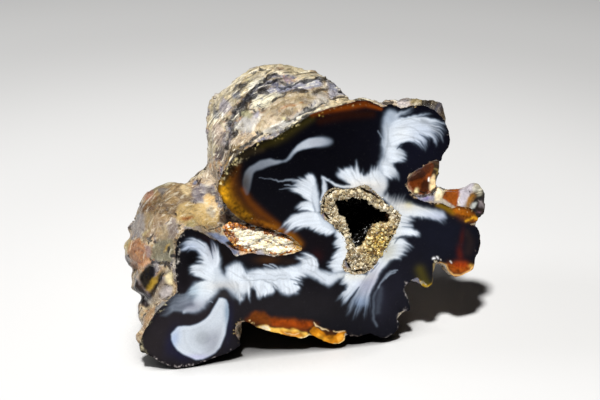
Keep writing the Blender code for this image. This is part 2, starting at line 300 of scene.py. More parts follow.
def fan(rng, roots, bends, tips, count, clumps, ragged, body):
    """Fine strands from the roots over the bends to the tips, in locks of pointed tufts.

    Gives two canvases: where the strands are, and the same weighed by each strand's light.
    """
    count, many = int(count * STRANDS), int(clumps * TUFTS)
    place = (np.arange(count) + rng.random(count)) / count
    locks, tufts = uneven(rng, clumps), uneven(rng, many)
    lock = np.abs(place[:, None] - locks).argmin(axis=1)
    tuft = np.abs(place[:, None] - tufts).argmin(axis=1)
    off = place - tufts[tuft]

    # Each strand stops at a part of its way, sooner at the sides of its tuft.
    reach = 1.0 - 0.9 * ragged * rng.random(clumps)[lock] - 1.1 * ragged * rng.random(many)[tuft]
    reach -= 0.22 * np.clip(np.abs(off) * many * 2, 0, 1.6) + 0.12 * rng.random(count)
    reach = np.clip(reach + 0.45 * ragged + 0.1, 0.35, 1.06)

    # Its tip is pulled towards its tuft and lock, and curls to one side.
    start, bend, end = polyline(roots, place), polyline(bends, place), polyline(tips, place)
    middle = (start + end) / 2
    bend = middle + (bend - middle) * 1.2
    gathered = np.clip(place - 0.8 * off - 0.25 * (tufts[tuft] - locks[lock]), 0.0, 1.0)
    pull = polyline(tips, gathered) - end
    ahead = end - bend
    ahead = ahead / (np.linalg.norm(ahead, axis=1)[:, None] + 1e-9)
    length = np.linalg.norm(end - start, axis=1).max()
    swing = rng.normal(0, 0.05, clumps)[lock] + rng.normal(0, 0.035, many)[tuft]
    curl = np.stack([-ahead[:, 1], ahead[:, 0]], axis=1) * (swing * length)[:, None]
    along = np.linspace(0.0, 1.0, int(length * 3.0) + 8)
    s = along[None, :, None] * reach[:, None, None]
    path = (1 - s) ** 2 * start[:, None] + 2 * s * (1 - s) * bend[:, None] + s ** 2 * end[:, None]
    path += s ** 2.5 * pull[:, None] + s ** 3 * curl[:, None]

    # Strands are fainter at their roots and tips and at the sides of the fan.
    steps = np.linalg.norm(np.diff(path, axis=1), axis=2)
    weight = np.concatenate([steps, steps[:, -1:]], axis=1)
    fade = np.clip((1.0 - along) / 0.75, 0.0, 1.0) * np.clip(along / 0.2, 0.15, 1.0)
    edge = np.clip(np.minimum(place, 1 - place) / 0.10, 0.25, 1.0)
    weight = weight * fade * (edge * rng.uniform(0.4, 1.5, count))[:, None] * (body * 0.8)
    light = rng.uniform(0.75, 1.2, count) * rng.uniform(0.72, 1.18, many)[tuft]
    light = light[:, None] * (1.0 - 0.18 * along ** 2)[None, :]
    return splatted(path, weight), splatted(path, weight * light)


# ---------------------------------------------------------------- the white plumes

# Each fan of strands: its roots, the points it bends over, its tips, then how many
# strands and clumps, how ragged the tips are and how dense the strands.
FANS = {
    "high arm": (
        [(391, 124), (390, 128), (389, 132), (389, 136), (390, 140), (391, 143), (392, 146)],
        [(408, 114), (426, 113), (434, 120), (430, 125), (428, 130), (420, 131), (408, 137)],
        [(428, 117), (443, 126), (446, 135), (439, 147), (431, 145), (427, 152), (421, 151)],
        260, 13, 0.2, 1.1),
    "high arm, grey hairs": (
        [(391, 119), (393, 117), (396, 118)], [(402, 114), (404, 110), (410, 113)],
        [(411, 108), (418, 105), (424, 112)], 14, 3, 0.3, 0.28),
    "high arm, middle": (
        [(386, 146), (386, 152), (387, 157), (388, 162)],
        [(402, 144), (405, 153), (401, 159), (394, 163)],
        [(406, 150), (411, 160), (407, 163), (398, 162)], 80, 6, 0.25, 1.0),
    "high arm, low": (
        [(382, 162), (383, 169), (384, 176)], [(395, 162), (396, 172), (392, 180)],
        [(400, 178), (397, 181), (389, 183)], 70, 5, 0.3, 0.9),
    "arm top, left hairs": (
        [(258, 274), (268, 274), (280, 273), (292, 272), (300, 270)],
        [(252, 270), (262, 269), (275, 269), (286, 268), (296, 266)],
        [(247, 271), (258, 267), (270, 266), (281, 267), (292, 264)], 110, 12, 0.4, 0.6),
    "left arm, high": (
        [(313, 204), (312, 199), (312, 194), (312, 189), (312, 184), (314, 186)],
        [(302, 193), (300, 190), (302, 186), (304, 183), (309, 178), (313, 178)],
        [(290, 191), (284, 189), (289, 185), (291, 181), (304, 176), (308, 174)],
        170, 9, 0.2, 1.2),
    "left arm, middle": (
        [(313, 203), (313, 208), (314, 212)], [(302, 199), (304, 204), (306, 208)],
        [(292, 208), (294, 209), (299, 211)], 70, 4, 0.25, 1.1),
    "left arm, low": (
        [(316, 213), (318, 217), (320, 221), (321, 226)],
        [(297, 210), (296, 215), (297, 221), (304, 225)],
        [(280, 226), (280, 229), (284, 232), (292, 234)], 130, 8, 0.2, 1.3),
    "left arm, hem": (
        [(312, 222), (320, 225), (327, 228), (334, 231)],
        [(304, 223), (315, 228), (321, 231), (329, 234)],
        [(304, 229), (310, 231), (317, 233), (328, 240)], 110, 7, 0.35, 1.2),
    "halo": (
        [(340, 230), (345, 236), (348, 243), (349, 250), (347, 257), (344, 264), (343, 271)],
        [(335, 231), (340, 238), (342, 245), (341, 251), (337, 257), (334, 263), (334, 269)],
        [(331, 238), (332, 243), (334, 247), (330, 255), (329, 261), (328, 266), (325, 271)],
        260, 9, 0.3, 1.4),
    "crown": (
        [(350, 184), (354, 185), (360, 186), (366, 184), (372, 185), (380, 186)],
        [(345, 177), (348, 173), (356, 172), (364, 177), (370, 175), (378, 174)],
        [(334, 173), (341, 166), (353, 160), (366, 168), (370, 161), (379, 164)],
        190, 11, 0.3, 1.4),
    "crown, right hairs": (
        [(382, 196), (387, 203), (393, 207), (400, 212), (406, 214)],
        [(384, 192), (390, 197), (396, 200), (402, 203), (409, 206)],
        [(386, 188), (392, 190), (397, 191), (403, 193), (409, 198)], 90, 9, 0.35, 0.55),
    "right arm": (
        [(400, 204), (400, 210), (402, 216)], [(427, 205), (428, 211), (418, 214)],
        [(448, 221), (441, 225), (414, 219)], 130, 8, 0.22, 1.2),
    "right arm, under": (
        [(399, 215), (399, 221), (398, 226)], [(408, 216), (408, 222), (406, 226)],
        [(417, 221), (416, 225), (412, 229)], 70, 5, 0.3, 0.9),
    "right plume": (
        [(396, 226), (396, 231), (393, 236)], [(412, 225), (412, 231), (405, 233)],
        [(423, 231), (419, 238), (401, 238)], 110, 6, 0.25, 1.2),
    "low right plume": (
        [(390, 243), (388, 248), (385, 254), (382, 259), (380, 264)],
        [(400, 234), (400, 241), (399, 247), (396, 252), (392, 257)],
        [(413, 246), (410, 250), (409, 254), (406, 258), (396, 260)], 170, 9, 0.25, 1.25),
    "long feather": (
        [(387, 247), (389, 252), (391, 257)], [(363, 279), (367, 278), (372, 276)],
        [(347, 312), (355, 318), (363, 319)], 170, 9, 0.14, 1.0),
    "short feather, top": (
        [(346, 275), (353, 277), (358, 280)], [(345, 277), (350, 280), (352, 284)],
        [(337, 282), (341, 284), (343, 289)], 90, 5, 0.3, 1.2),
    "short feather": (
        [(352, 275), (359, 275), (366, 275)], [(350, 288), (355, 288), (358, 288)],
        [(336, 301), (340, 304), (343, 305)], 170, 7, 0.2, 1.3),
    "lower arm, left fringe": (
        [(230, 276), (238, 277), (246, 277), (254, 277)],
        [(234, 284), (240, 286), (247, 288), (253, 284)],
        [(236, 298), (242, 304), (246, 306), (253, 293)], 170, 9, 0.3, 1.2),
    "lower arm, middle fringe": (
        [(257, 280), (268, 280), (277, 282)], [(256, 290), (266, 292), (276, 287)],
        [(256, 299), (264, 299), (275, 291)], 150, 6, 0.16, 1.3),
    "lower arm, right fringe": (
        [(280, 280), (288, 280), (296, 282)], [(281, 289), (290, 291), (300, 287)],
        [(280, 293), (290, 296), (302, 288)], 150, 6, 0.16, 1.3),
    "lower arm, hairs": (
        [(288, 272), (291, 276), (293, 282)], [(299, 271), (300, 275), (299, 282)],
        [(307, 276), (307, 281), (302, 286)], 80, 5, 0.3, 1.2),
    "curl": (
        [(300, 268), (306, 270), (311, 270), (317, 270)],
        [(304, 262), (309, 258), (314, 254), (319, 257)],
        [(297, 262), (295, 259), (299, 255), (303, 251)], 110, 5, 0.15, 1.0),
    "left lobe, column": (
        [(209, 268), (213, 268), (218, 266)], [(213, 255), (218, 252), (221, 250)],
        [(206, 239), (210, 238), (217, 241)], 90, 6, 0.25, 0.8),
    "left lobe, crest": (
        [(215, 264), (213, 268), (211, 272)], [(201, 231), (199, 237), (198, 243)],
        [(179, 244), (180, 249), (181, 253)], 170, 7, 0.2, 1.3),
    "left lobe, wedge": (
        [(212, 262), (212, 269), (211, 276)], [(206, 255), (206, 262), (206, 268)],
        [(195, 255), (196, 261), (202, 268)], 90, 6, 0.3, 1.0),
    "left lobe, second": (
        [(213, 272), (213, 277), (212, 282)], [(202, 260), (200, 268), (201, 277)],
        [(188, 267), (188, 272), (191, 276)], 150, 4, 0.1, 1.2),
    "left lobe, third": (
        [(214, 284), (213, 289), (210, 294)], [(200, 278), (198, 285), (198, 292)],
        [(186, 289), (185, 293), (188, 297)], 140, 5, 0.2, 1.1),
    "inner plume": (
        [(230, 280), (236, 280), (243, 280)], [(230, 272), (236, 272), (243, 272)],
        [(226, 266), (235, 260), (243, 263)], 130, 6, 0.15, 1.2),
}

# Solid white bodies that the fans grow from: outline, softness in pixels and density.
BODIES = {
    "stem": ([
        (387, 112), (385, 117), (384, 122), (382.5, 130), (384, 137), (384, 150), (383, 158),
        (381, 163), (378, 170), (384, 177), (390, 171), (393, 160), (396, 150), (402, 138),
        (404, 128), (398, 118), (393, 112)], 1.2, 2.0),
    "crown": ([
        (337, 174), (345, 170), (352, 169), (360, 175), (366, 176), (372, 172), (379, 170),
        (386, 177), (386, 186), (383, 194), (381, 200), (378, 195), (374, 192), (370, 187),
        (366, 185), (362, 188), (357, 188), (351, 187), (349, 182), (343, 178)], 0.9, 2.6),
    "left spine": ([
        (316, 213), (313, 200), (311, 190), (309, 182), (307, 177), (311, 175), (314, 180),
        (316, 186), (317, 192), (319, 201), (319, 212)], 0.8, 2.6),
    "spike": ([
        (320, 204), (321.5, 196), (322.5, 189), (322.5, 182), (321.5, 175), (324, 181), (326, 188),
        (326, 195), (324, 202)], 0.4, 2.4),
    "left low": ([
        (303, 214), (310, 213.5), (317, 212), (321, 217), (327, 222), (333, 226), (336, 231),
        (328, 231), (318, 228), (310, 225), (303, 224), (296, 225), (291, 223), (297, 217)],
        1.0, 2.4),
    "halo": ([
        (336, 228), (342, 233), (347, 240), (349, 248), (347, 256), (343, 263), (343, 272),
        (334, 273), (335, 264), (337, 255), (341, 247), (340, 239), (336, 234)], 1.0, 2.6),
    "east": ([
        (386, 203), (395, 206), (404, 202), (416, 206), (424, 208), (436, 210), (443, 213),
        (446, 218), (438, 218), (430, 217), (420, 216), (408, 216), (402, 220), (398, 228),
        (397, 236), (388, 246), (390, 238), (398, 226), (402, 217), (394, 210)], 1.0, 2.2),
    "plume": ([
        (396, 229), (406, 229), (414, 230), (418, 233), (410, 235), (402, 235), (395, 238)],
        0.9, 1.8),
    "low plume": ([
        (392, 243), (398, 240), (404, 240), (404, 245), (399, 250), (396, 255), (388, 260),
        (382, 266), (378, 266), (384, 256)], 1.2, 1.8),
    "long": ([
        (388, 247), (391, 254), (386, 262), (380, 269), (375, 276), (371, 286), (368, 296),
        (365, 305), (356, 304), (359, 296), (362, 288), (364, 281), (369, 272), (380, 260)],
        1.1, 1.2),
    "short": ([
        (345, 273.5), (355, 275), (366, 276), (362, 281), (359, 287), (352, 292), (346, 292),
        (349, 285), (345, 279)], 0.9, 2.6),
    "lower arm": ([
        (228, 267), (232, 264), (238, 263), (241, 266), (243, 269), (247, 272.5), (256, 270),
        (270, 270), (284, 269.5), (297, 267), (303, 263), (311, 263), (315, 269), (322, 272),
        (330, 274), (346, 274), (345, 276), (338, 278), (333, 281), (329, 285), (324, 282),
        (318, 279), (311, 276), (305, 273), (298, 276), (293, 282), (298, 287), (296, 293),
        (288, 294), (281, 291), (276, 288), (270, 293), (260, 294), (256, 288), (251, 286),
        (247, 293), (240, 293), (234, 288), (227, 285), (226, 275)], 1.0, 2.8),
    "left lobe": ([
        (206, 256), (212, 255), (219, 258), (218, 268), (222, 276), (230, 279), (238, 282),
        (238, 290), (230, 285.5), (222, 284), (215, 287), (210, 291), (206, 297), (198, 303),
        (193, 303), (196, 297), (198, 292), (192, 290), (195, 284.5), (203, 284.5), (208, 282),
        (204, 277), (194, 273), (193, 267), (199, 267), (205, 272)], 1.2, 2.4),
}

# Grey to white lines: points, half-widths in pixels and strength.
LINES = {
    "arch band": ([
        (184, 312), (194, 309.5), (202, 304.5), (207, 298), (212, 291.5), (218, 287), (224, 285.5),
        (231, 287.5), (237, 292), (241, 299)], [1.5, 3.0, 3.6, 3.6, 3.4, 3.0, 2.6, 3.2, 4.0, 2.0], 1.3),
    "haze": ([(172, 308), (182, 304), (193, 300), (201, 295)], [3, 5, 6, 5], 0.14),
    "streak 1": ([
        (259, 178), (270, 178), (275, 179), (278, 181), (285, 180), (298, 181)],
        [0.3, 0.4, 0.45, 0.5, 0.6, 0.9], 0.65),
    "streak 2": ([(280, 188.5), (285, 188), (291, 188), (300, 190)], [0.3, 0.45, 0.7, 1.0], 0.3),
    "streak 3": ([(284, 184.5), (290, 185), (298, 186)], [0.3, 0.6, 0.9], 0.6),
    "crown line": ([
        (323, 177), (326, 180), (330, 182), (334, 184.5), (339, 186), (345, 187), (353, 186)],
        [0.8, 0.9, 1.0, 1.1, 1.1, 1.1, 1.3], 2.0),
    "stem wisp": ([(377, 130), (382, 138), (384, 146)], [0.5, 0.7, 0.8], 0.3),
    "arcs": ([(263, 264.5), (268, 266), (273, 267.5)], [0.4, 0.6, 0.6], 0.9),
    "arcs 2": ([(269, 264), (273, 264.5), (276, 266.5), (277.5, 269)], [0.4, 0.6, 0.6, 0.6], 0.9),
    "glossy arc": ([
        (397, 269.5), (391, 271), (387, 274), (384, 277), (381, 282), (378, 287)],
        [0.5, 1.1, 1.4, 1.1, 0.9, 0.9], 0.38),
    "glossy arc 2": ([(395, 271.5), (389, 274), (385, 278)], [0.4, 0.5, 0.5], 0.4),
    "glossy arc 3": ([
        (378, 287), (375, 293), (373.5, 299), (373, 306), (373, 313), (374, 319), (377, 326)],
        [0.9, 1.0, 1.1, 1.2, 1.3, 1.5, 1.3], 0.13),
    "glow inside arc": ([(381, 288), (378, 300), (377, 312)], [2.5, 3.0, 2.5], 0.06),
    "channel hook": ([(209, 302.5), (211, 301.7), (212.5, 303)], [0.4, 0.4, 0.4], 0.45),
}

# Fine combed lines that flow down to the left under the third plume: the upper and the lower one.
COMB_ABOVE = [(166, 297), (176, 295.5), (184, 294), (190, 291), (196, 287)]
COMB_BELOW = [(158, 317), (172, 312), (186, 310), (200, 304), (213, 294)]
COMB_STEPS = (0.0, 0.16, 0.29, 0.4, 0.55, 0.66, 0.8, 0.92, 1.0)  # each line's share of the way down


def combed():
    """The combed lines between the upper and the lower one, brighter towards their roots."""
    cells = np.zeros(SHAPE)
    places = np.linspace(0, 1, 9)
    above, below = polyline(COMB_ABOVE, places), polyline(COMB_BELOW, places)
    for i, part in enumerate(COMB_STEPS):
        line = above * (1 - part) + below * part
        line[:, 1] += 0.9 * np.sin(line[:, 0] * 0.42 + 2.1 * part) * (1 - 0.5 * places)
        widths = [0.6, 0.8 + 0.3 * (i % 3), 1.4]
        cells += stroke([tuple(p) for p in line], widths) * (0.34 + 0.12 * (i % 2))
    return cells * rising(CELL_X[None, :], 158, 40)


# Soft shades that model the white: points, half-widths and strength.
SHADES = [
    ([(422, 120), (433, 126), (440, 134), (442, 146)], [2.5, 3.5, 4.0, 4.0], 0.4),
    ([(243, 275), (250, 282), (254, 292)], [1.2, 1.8, 2.2], 0.30),
    ([(262, 280), (270, 283), (277, 290)], [0.8, 1.3, 2.0], 0.30),
    ([(229, 271), (238, 276), (250, 279), (262, 280), (276, 279), (288, 276)],
     [0.5, 0.7, 0.6, 0.6, 0.6, 0.5], 0.25),
    ([(246, 272), (254, 275), (262, 274)], [0.5, 0.7, 0.5], 0.22),
    ([(266, 273), (276, 276), (286, 274)], [0.5, 0.7, 0.5], 0.22),
    ([(256, 286), (259, 292), (260, 297)], [0.5, 0.7, 0.8], 0.25),
    ([(264, 286), (268, 291), (270, 296)], [0.5, 0.6, 0.8], 0.2),
    ([(284, 284), (288, 289), (290, 294)], [0.5, 0.6, 0.8], 0.22),
    ([(236, 282), (240, 290), (241, 298)], [0.6, 0.7, 0.8], 0.25),
    ([(229, 282), (233, 288), (237, 296)], [0.5, 0.6, 0.8], 0.2),
    ([(312, 264), (320, 270), (330, 275)], [0.6, 0.8, 0.8], 0.25),
    ([(306, 268), (316, 273), (326, 280)], [0.5, 0.7, 0.7], 0.2),
    ([(300, 262), (305, 258), (311, 257), (315, 262)], [0.4, 0.6, 0.6, 0.5], 0.3),
    ([(303, 265), (308, 262), (312, 265)], [0.4, 0.5, 0.4], 0.25),
    ([(190, 246), (200, 249), (208, 256)], [0.5, 0.8, 0.6], 0.25),
    ([(186, 272), (196, 270), (205, 274)], [0.5, 0.7, 0.6], 0.25),
    ([(398, 120), (412, 119), (426, 124), (434, 132)], [0.5, 0.8, 0.8, 0.8], 0.25),
    ([(396, 128), (410, 127), (422, 132), (430, 141)], [0.5, 0.8, 0.8, 0.7], 0.25),
    ([(392, 136), (402, 134), (412, 137), (420, 144)], [0.5, 0.7, 0.7, 0.7], 0.22),
    ([(386, 122), (388, 134), (387, 148), (383, 162)], [0.6, 0.9, 0.9, 0.7], 0.2),
    ([(352, 172), (356, 179), (362, 184)], [0.7, 0.8, 0.6], 0.22),
    ([(370, 168), (374, 177), (380, 186)], [0.6, 0.8, 0.6], 0.22),
]

# Thin dark gaps cut into the white.
GAPS = {
    "seam": ([(239, 280), (250, 280.5), (262, 280)], [0.3, 0.35, 0.3], 0.22),
    "crease": ([(264, 281), (268, 282.3), (272, 282), (275, 285), (278, 288)],
               [0.3, 0.4, 0.4, 0.5, 0.6], 0.45),
    "second under, soft": ([(192, 277), (200, 279)], [2.0, 1.2], 0.55),
    "arm gap 1": ([(290, 279), (296, 280.2), (301, 282.3)], [0.3, 0.7, 0.9], 0.9),
    "arm gap 2": ([(295, 277), (300, 278.7), (304, 280.6)], [0.25, 0.6, 0.8], 0.85),
    "arm gap 3": ([(294, 283.8), (298, 285), (302, 286)], [0.5, 0.8, 0.9], 0.9),
    "arm notch": ([(297.5, 291.5), (301, 292.5)], [1.0, 1.3], 0.9),
    "high arm gap": ([(397, 149), (401, 144.5), (408, 143), (414, 143.5), (418, 147), (420, 153)],
                     [0.5, 1.0, 1.4, 1.5, 1.4, 1.6], 0.95),
    "high arm wedge": ([(419, 134), (424, 136.5), (429, 140.5), (432, 147), (433, 154)],
                       [0.3, 1.0, 2.0, 2.8, 3.2], 0.85),
    "crown gap": ([(330, 180), (340, 181.5), (350, 184.5)], [1.1, 1.3, 0.8], 0.9),
    "crown valley": ([(361, 168), (363.5, 175)], [1.6, 0.9], 0.9),
    "right dark": ([(392, 185), (400, 187), (408, 190)], [2.2, 2.5, 2.5], 0.9),
    "east arc": ([(394.5, 243.5), (397, 239.5), (400, 237), (406, 235.8), (413, 237)],
                 [0.5, 0.8, 0.9, 0.8, 1.0], 0.85),
    "plume gap": ([(401, 222), (408, 223.4), (414, 223)], [0.3, 0.6, 0.8], 0.6),
    "plume gap 2": ([(402, 226.5), (408, 227), (414, 227.5)], [0.4, 0.8, 1.0], 0.7),
    "crust gap": ([(378.5, 263), (374, 268.5), (370.5, 272)], [0.5, 0.7, 0.5], 0.8),
    "feather gap": ([(359, 287), (354, 294), (349, 301), (344, 308)], [0.5, 1.3, 2.0, 3.0], 1.0),
    "short gap": ([(346, 289.5), (342, 291), (339, 294)], [0.9, 1.3, 1.5], 0.85),
    "left gap 1": ([(280, 183), (290, 183), (296, 182.8)], [0.9, 0.8, 0.4], 0.8),
    "left gap 2": ([(280, 187), (290, 187), (297, 187)], [0.7, 0.6, 0.3], 0.7),
    "left gap 3": ([(281, 197), (295, 197.5), (306, 200)], [1.6, 1.3, 0.6], 0.9),
    "halo notch": ([(331, 249.5), (336, 249), (340, 247.5)], [2.0, 1.2, 0.5], 0.85),
    "crest gap": ([(203, 234), (208, 241), (211, 250), (213, 259)], [1.3, 1.1, 0.8, 0.3], 0.85),
    "column hair": ([(209, 235), (213, 243), (215, 252)], [0.6, 0.6, 0.3], 0.6),
    "crest hair": ([(188, 240), (197, 241), (205, 247)], [0.4, 0.5, 0.3], 0.5),
    "fringe notch": ([(253, 301), (253, 294), (251, 288)], [1.6, 1.2, 0.5], 0.9),
    "fringe notch 2": ([(277, 297), (276, 291), (273, 286)], [1.6, 1.2, 0.5], 0.85),
    "arm top notch": ([(243, 264), (245, 269), (247, 274)], [0.5, 0.9, 0.4], 0.55),
}

# The white crescent, from its upper tip down its right side and back.
CRESCENT = [
    (219, 298), (223, 297.5), (226.5, 300), (228.2, 304), (228.8, 310), (228, 318), (226.5, 326),
    (225, 334), (223, 341), (220, 347), (215, 352.5), (210, 356.5), (203, 359), (196, 359.3),
    (190, 357.7), (184, 354.5), (178, 350), (174, 345), (171, 339.5), (171.5, 334), (174, 330.5),
    (178, 326.5), (184, 326), (190, 326), (196, 324.5), (201, 322), (206, 318.5), (210, 314),
    (213, 309), (216, 304.5), (218, 301),
]


def warped(cells, rng, shifts):
    """The canvas pushed about by soft noise: pairs of how far and how wide, in pixels."""
    y, x = np.mgrid[0:SHAPE[0], 0:SHAPE[1]].astype(float)
    for far, wide in shifts:
        x += speckle(rng, wide) * far * CELLS
        y += speckle(rng, wide) * far * CELLS
    pixels = np.stack([x.ravel() / CELLS + LEFT, y.ravel() / CELLS + TOP], axis=1)
    return sampled(cells, pixels).reshape(SHAPE + cells.shape[2:])


def drawn_plumes(rng):
    """How white each cell of the face is, from 0 to 1, and how light or dark that white is."""
    fine, lit = np.zeros(SHAPE), np.zeros(SHAPE)
    for roots, bends, tips, count, clumps, ragged, body in FANS.values():
        strands, light = fan(rng, roots, bends, tips, count, clumps, ragged, body)
        fine += strands / 3.0
        lit += light / 3.0
    solid = united(area(points, soft * 1.5) * density for points, soft, density in BODIES.values())
    sharp, soft = blurred(fine, 0.42), blurred(fine, 1.0)
    streaks = (blurred(lit, 0.42) + 0.02) / (sharp + 0.02) - 1.0
    density = 1.15 * sharp + 0.55 * soft + 0.8 * solid
    for points, widths, strength in LINES.values():
        density += stroke(points, widths) * strength
    density = warped(density + combed(), rng, [(0.45, 4.0), (0.22, 1.2)])
    white = 1.0 - np.exp(-1.2 * density)
    for points, widths, strength in GAPS.values():
        white *= 1.0 - 0.85 * strength * stroke(points, widths)
    grain = (sharp - soft) / (soft + 0.5)
    calm = 1.0 - 0.6 * np.clip(solid / 2.4, 0.0, 1.0)
    light = 0.80 + 0.20 * (1.0 - np.exp(-0.6 * density)) + 0.9 * calm * np.clip(streaks, -0.3, 0.25)
    light += 0.16 * calm * np.clip(grain, -1.0, 1.0) + 0.03 * speckle(rng, 2.5)
    shades = united(stroke(points, widths) * strength for points, widths, strength in SHADES)
    light *= 1.0 - warped(shades, rng, [(0.6, 2.0)])
    white = np.maximum(white, 1.0 - np.exp(-2.3 * wavy_band()))
    crescent, shade = drawn_crescent(rng)
    white = np.maximum(white, crescent)
    light = light * (1 - crescent) + crescent * (0.9 - shade)
    return np.clip(white, 0.0, 1.0), light


# The thin wavy band: its upper edge from right to left, and its lower edge back.
BAND_ABOVE = [
    (334, 141), (329, 139), (322, 138), (316, 138), (309, 139), (303, 142), (298, 145.5), (293, 151),
    (290, 155), (288, 158), (286, 160), (283, 161), (275, 160.5), (270, 159), (265, 160), (260, 161),
    (254, 165), (250, 167), (247, 170), (245, 173), (244, 177), (243, 181), (243, 186), (244, 190),
    (246, 195),
]
BAND_BELOW = [
    (248, 195), (250, 188), (251, 182), (252, 177), (253, 173), (256, 170.5), (262, 169),
    (266, 167), (272, 165), (278, 163.5), (282, 162), (286, 161.3), (290, 158.5), (293.5, 154),
    (297, 151), (302, 149), (309, 147.5), (315, 146.5), (323, 145.5), (329, 144.5), (333, 142.5),
]


def wavy_band():
    """The thin white band that runs across the upper lobe, dimmer towards its left end."""
    x, y = np.meshgrid(CELL_X, CELL_Y)
    bright = np.interp(x, [244, 250, 262, 280, 296, 310, 320, 328, 335],
                       [0.26, 0.33, 0.36, 0.45, 0.8, 1.0, 0.8, 0.35, 0.0])
    bright *= np.interp(y, [120, 178, 196], [1.0, 1.0, 0.2])
    soft = rising(x, 314, 12)
    outline = BAND_ABOVE + BAND_BELOW
    return (area(outline, 0.7) * (1 - soft) + area(outline, 1.3) * soft) * bright


def drawn_crescent(rng):
    """The white crescent: ragged above and to the left, with growth rings round a grey core."""
    ragged = [(x + rng.normal(0, 0.25), y + rng.normal(0, 0.25)) for x, y in CRESCENT]
    cover = area(ragged, 0.55) * 0.97
    x, y = np.meshgrid(CELL_X, CELL_Y)
    reach = np.hypot((x - 203) / 1.08, (y - 338) * 1.05)
    rings = 0.5 + 0.5 * np.cos(reach * 0.95 + 1.2)
    shade = 0.30 * np.exp(-((reach / 9.5) ** 2)) + 0.05 * rings * np.clip(1 - reach / 24, 0, 1)
    shade += 0.13 * spot(212, 352, 9, 5, -30) + 0.10 * spot(217, 335, 4, 12, 15)
    layer = area(ragged, 3.2)
    shade += 0.09 * np.clip(2.2 * layer - 1.3, 0.0, 1.0) + 0.03 * np.cos(layer * 34.0)
    shade += 0.06 * stroke([(184, 330), (184.5, 340), (191, 351), (201, 355)], [1.2, 1.5, 1.5, 1.2])
    return cover, shade * cover


# ---------------------------------------------------------------- the dark ground

GROUND = linear(9, 9, 15)
# Soft tints of the ground: centre, radii, turn, colour and strength.
TINTS = [
    (300, 160, 90, 45, 0, (4, 4, 9), 0.95),
    (330, 185, 70, 30, 0, (4, 4, 10), 0.85),
    (415, 150, 35, 45, 0, (13, 14, 26), 0.9),
    (440, 235, 35, 32, 0, (16, 18, 30), 0.95),
    (395, 290, 40, 45, 0, (22, 22, 31), 0.95),
    (290, 305, 75, 22, 0, (28, 26, 29), 0.95),
    (190, 320, 60, 55, 0, (33, 29, 33), 0.95),
    (150, 345, 30, 25, 0, (38, 34, 36), 0.8),
    (192, 260, 12, 14, 0, (4, 3, 6), 0.95),
    (184, 280, 6, 14, 0, (14, 11, 14), 0.8),
    (226, 257, 9, 14, -20, (14, 9, 10), 0.95),
    (206, 240, 8, 7, 40, (22, 10, 14), 0.6),
    (315, 245, 20, 16, 0, (14, 9, 14), 0.95),
    (317, 256, 6, 6, 0, (42, 14, 16), 0.6),
    (268, 260, 12, 4, 0, (62, 38, 18), 0.85),
    (290, 262, 8, 4, 0, (38, 27, 22), 0.7),
    (380, 300, 8, 18, 0, (34, 34, 46), 0.7),
    (224, 295, 9, 4.5, 0, (46, 44, 46), 0.7),
    (172, 340, 6, 14, 15, (24, 26, 52), 0.7),
    (180, 355, 10, 6, 25, (22, 24, 50), 0.6),
    (229, 322, 4, 20, 5, (24, 28, 52), 0.6),
    (462, 238, 2.6, 9, 8, (62, 20, 16), 0.7),
    (460, 254, 3.2, 7, -8, (84, 24, 14), 0.7),
]
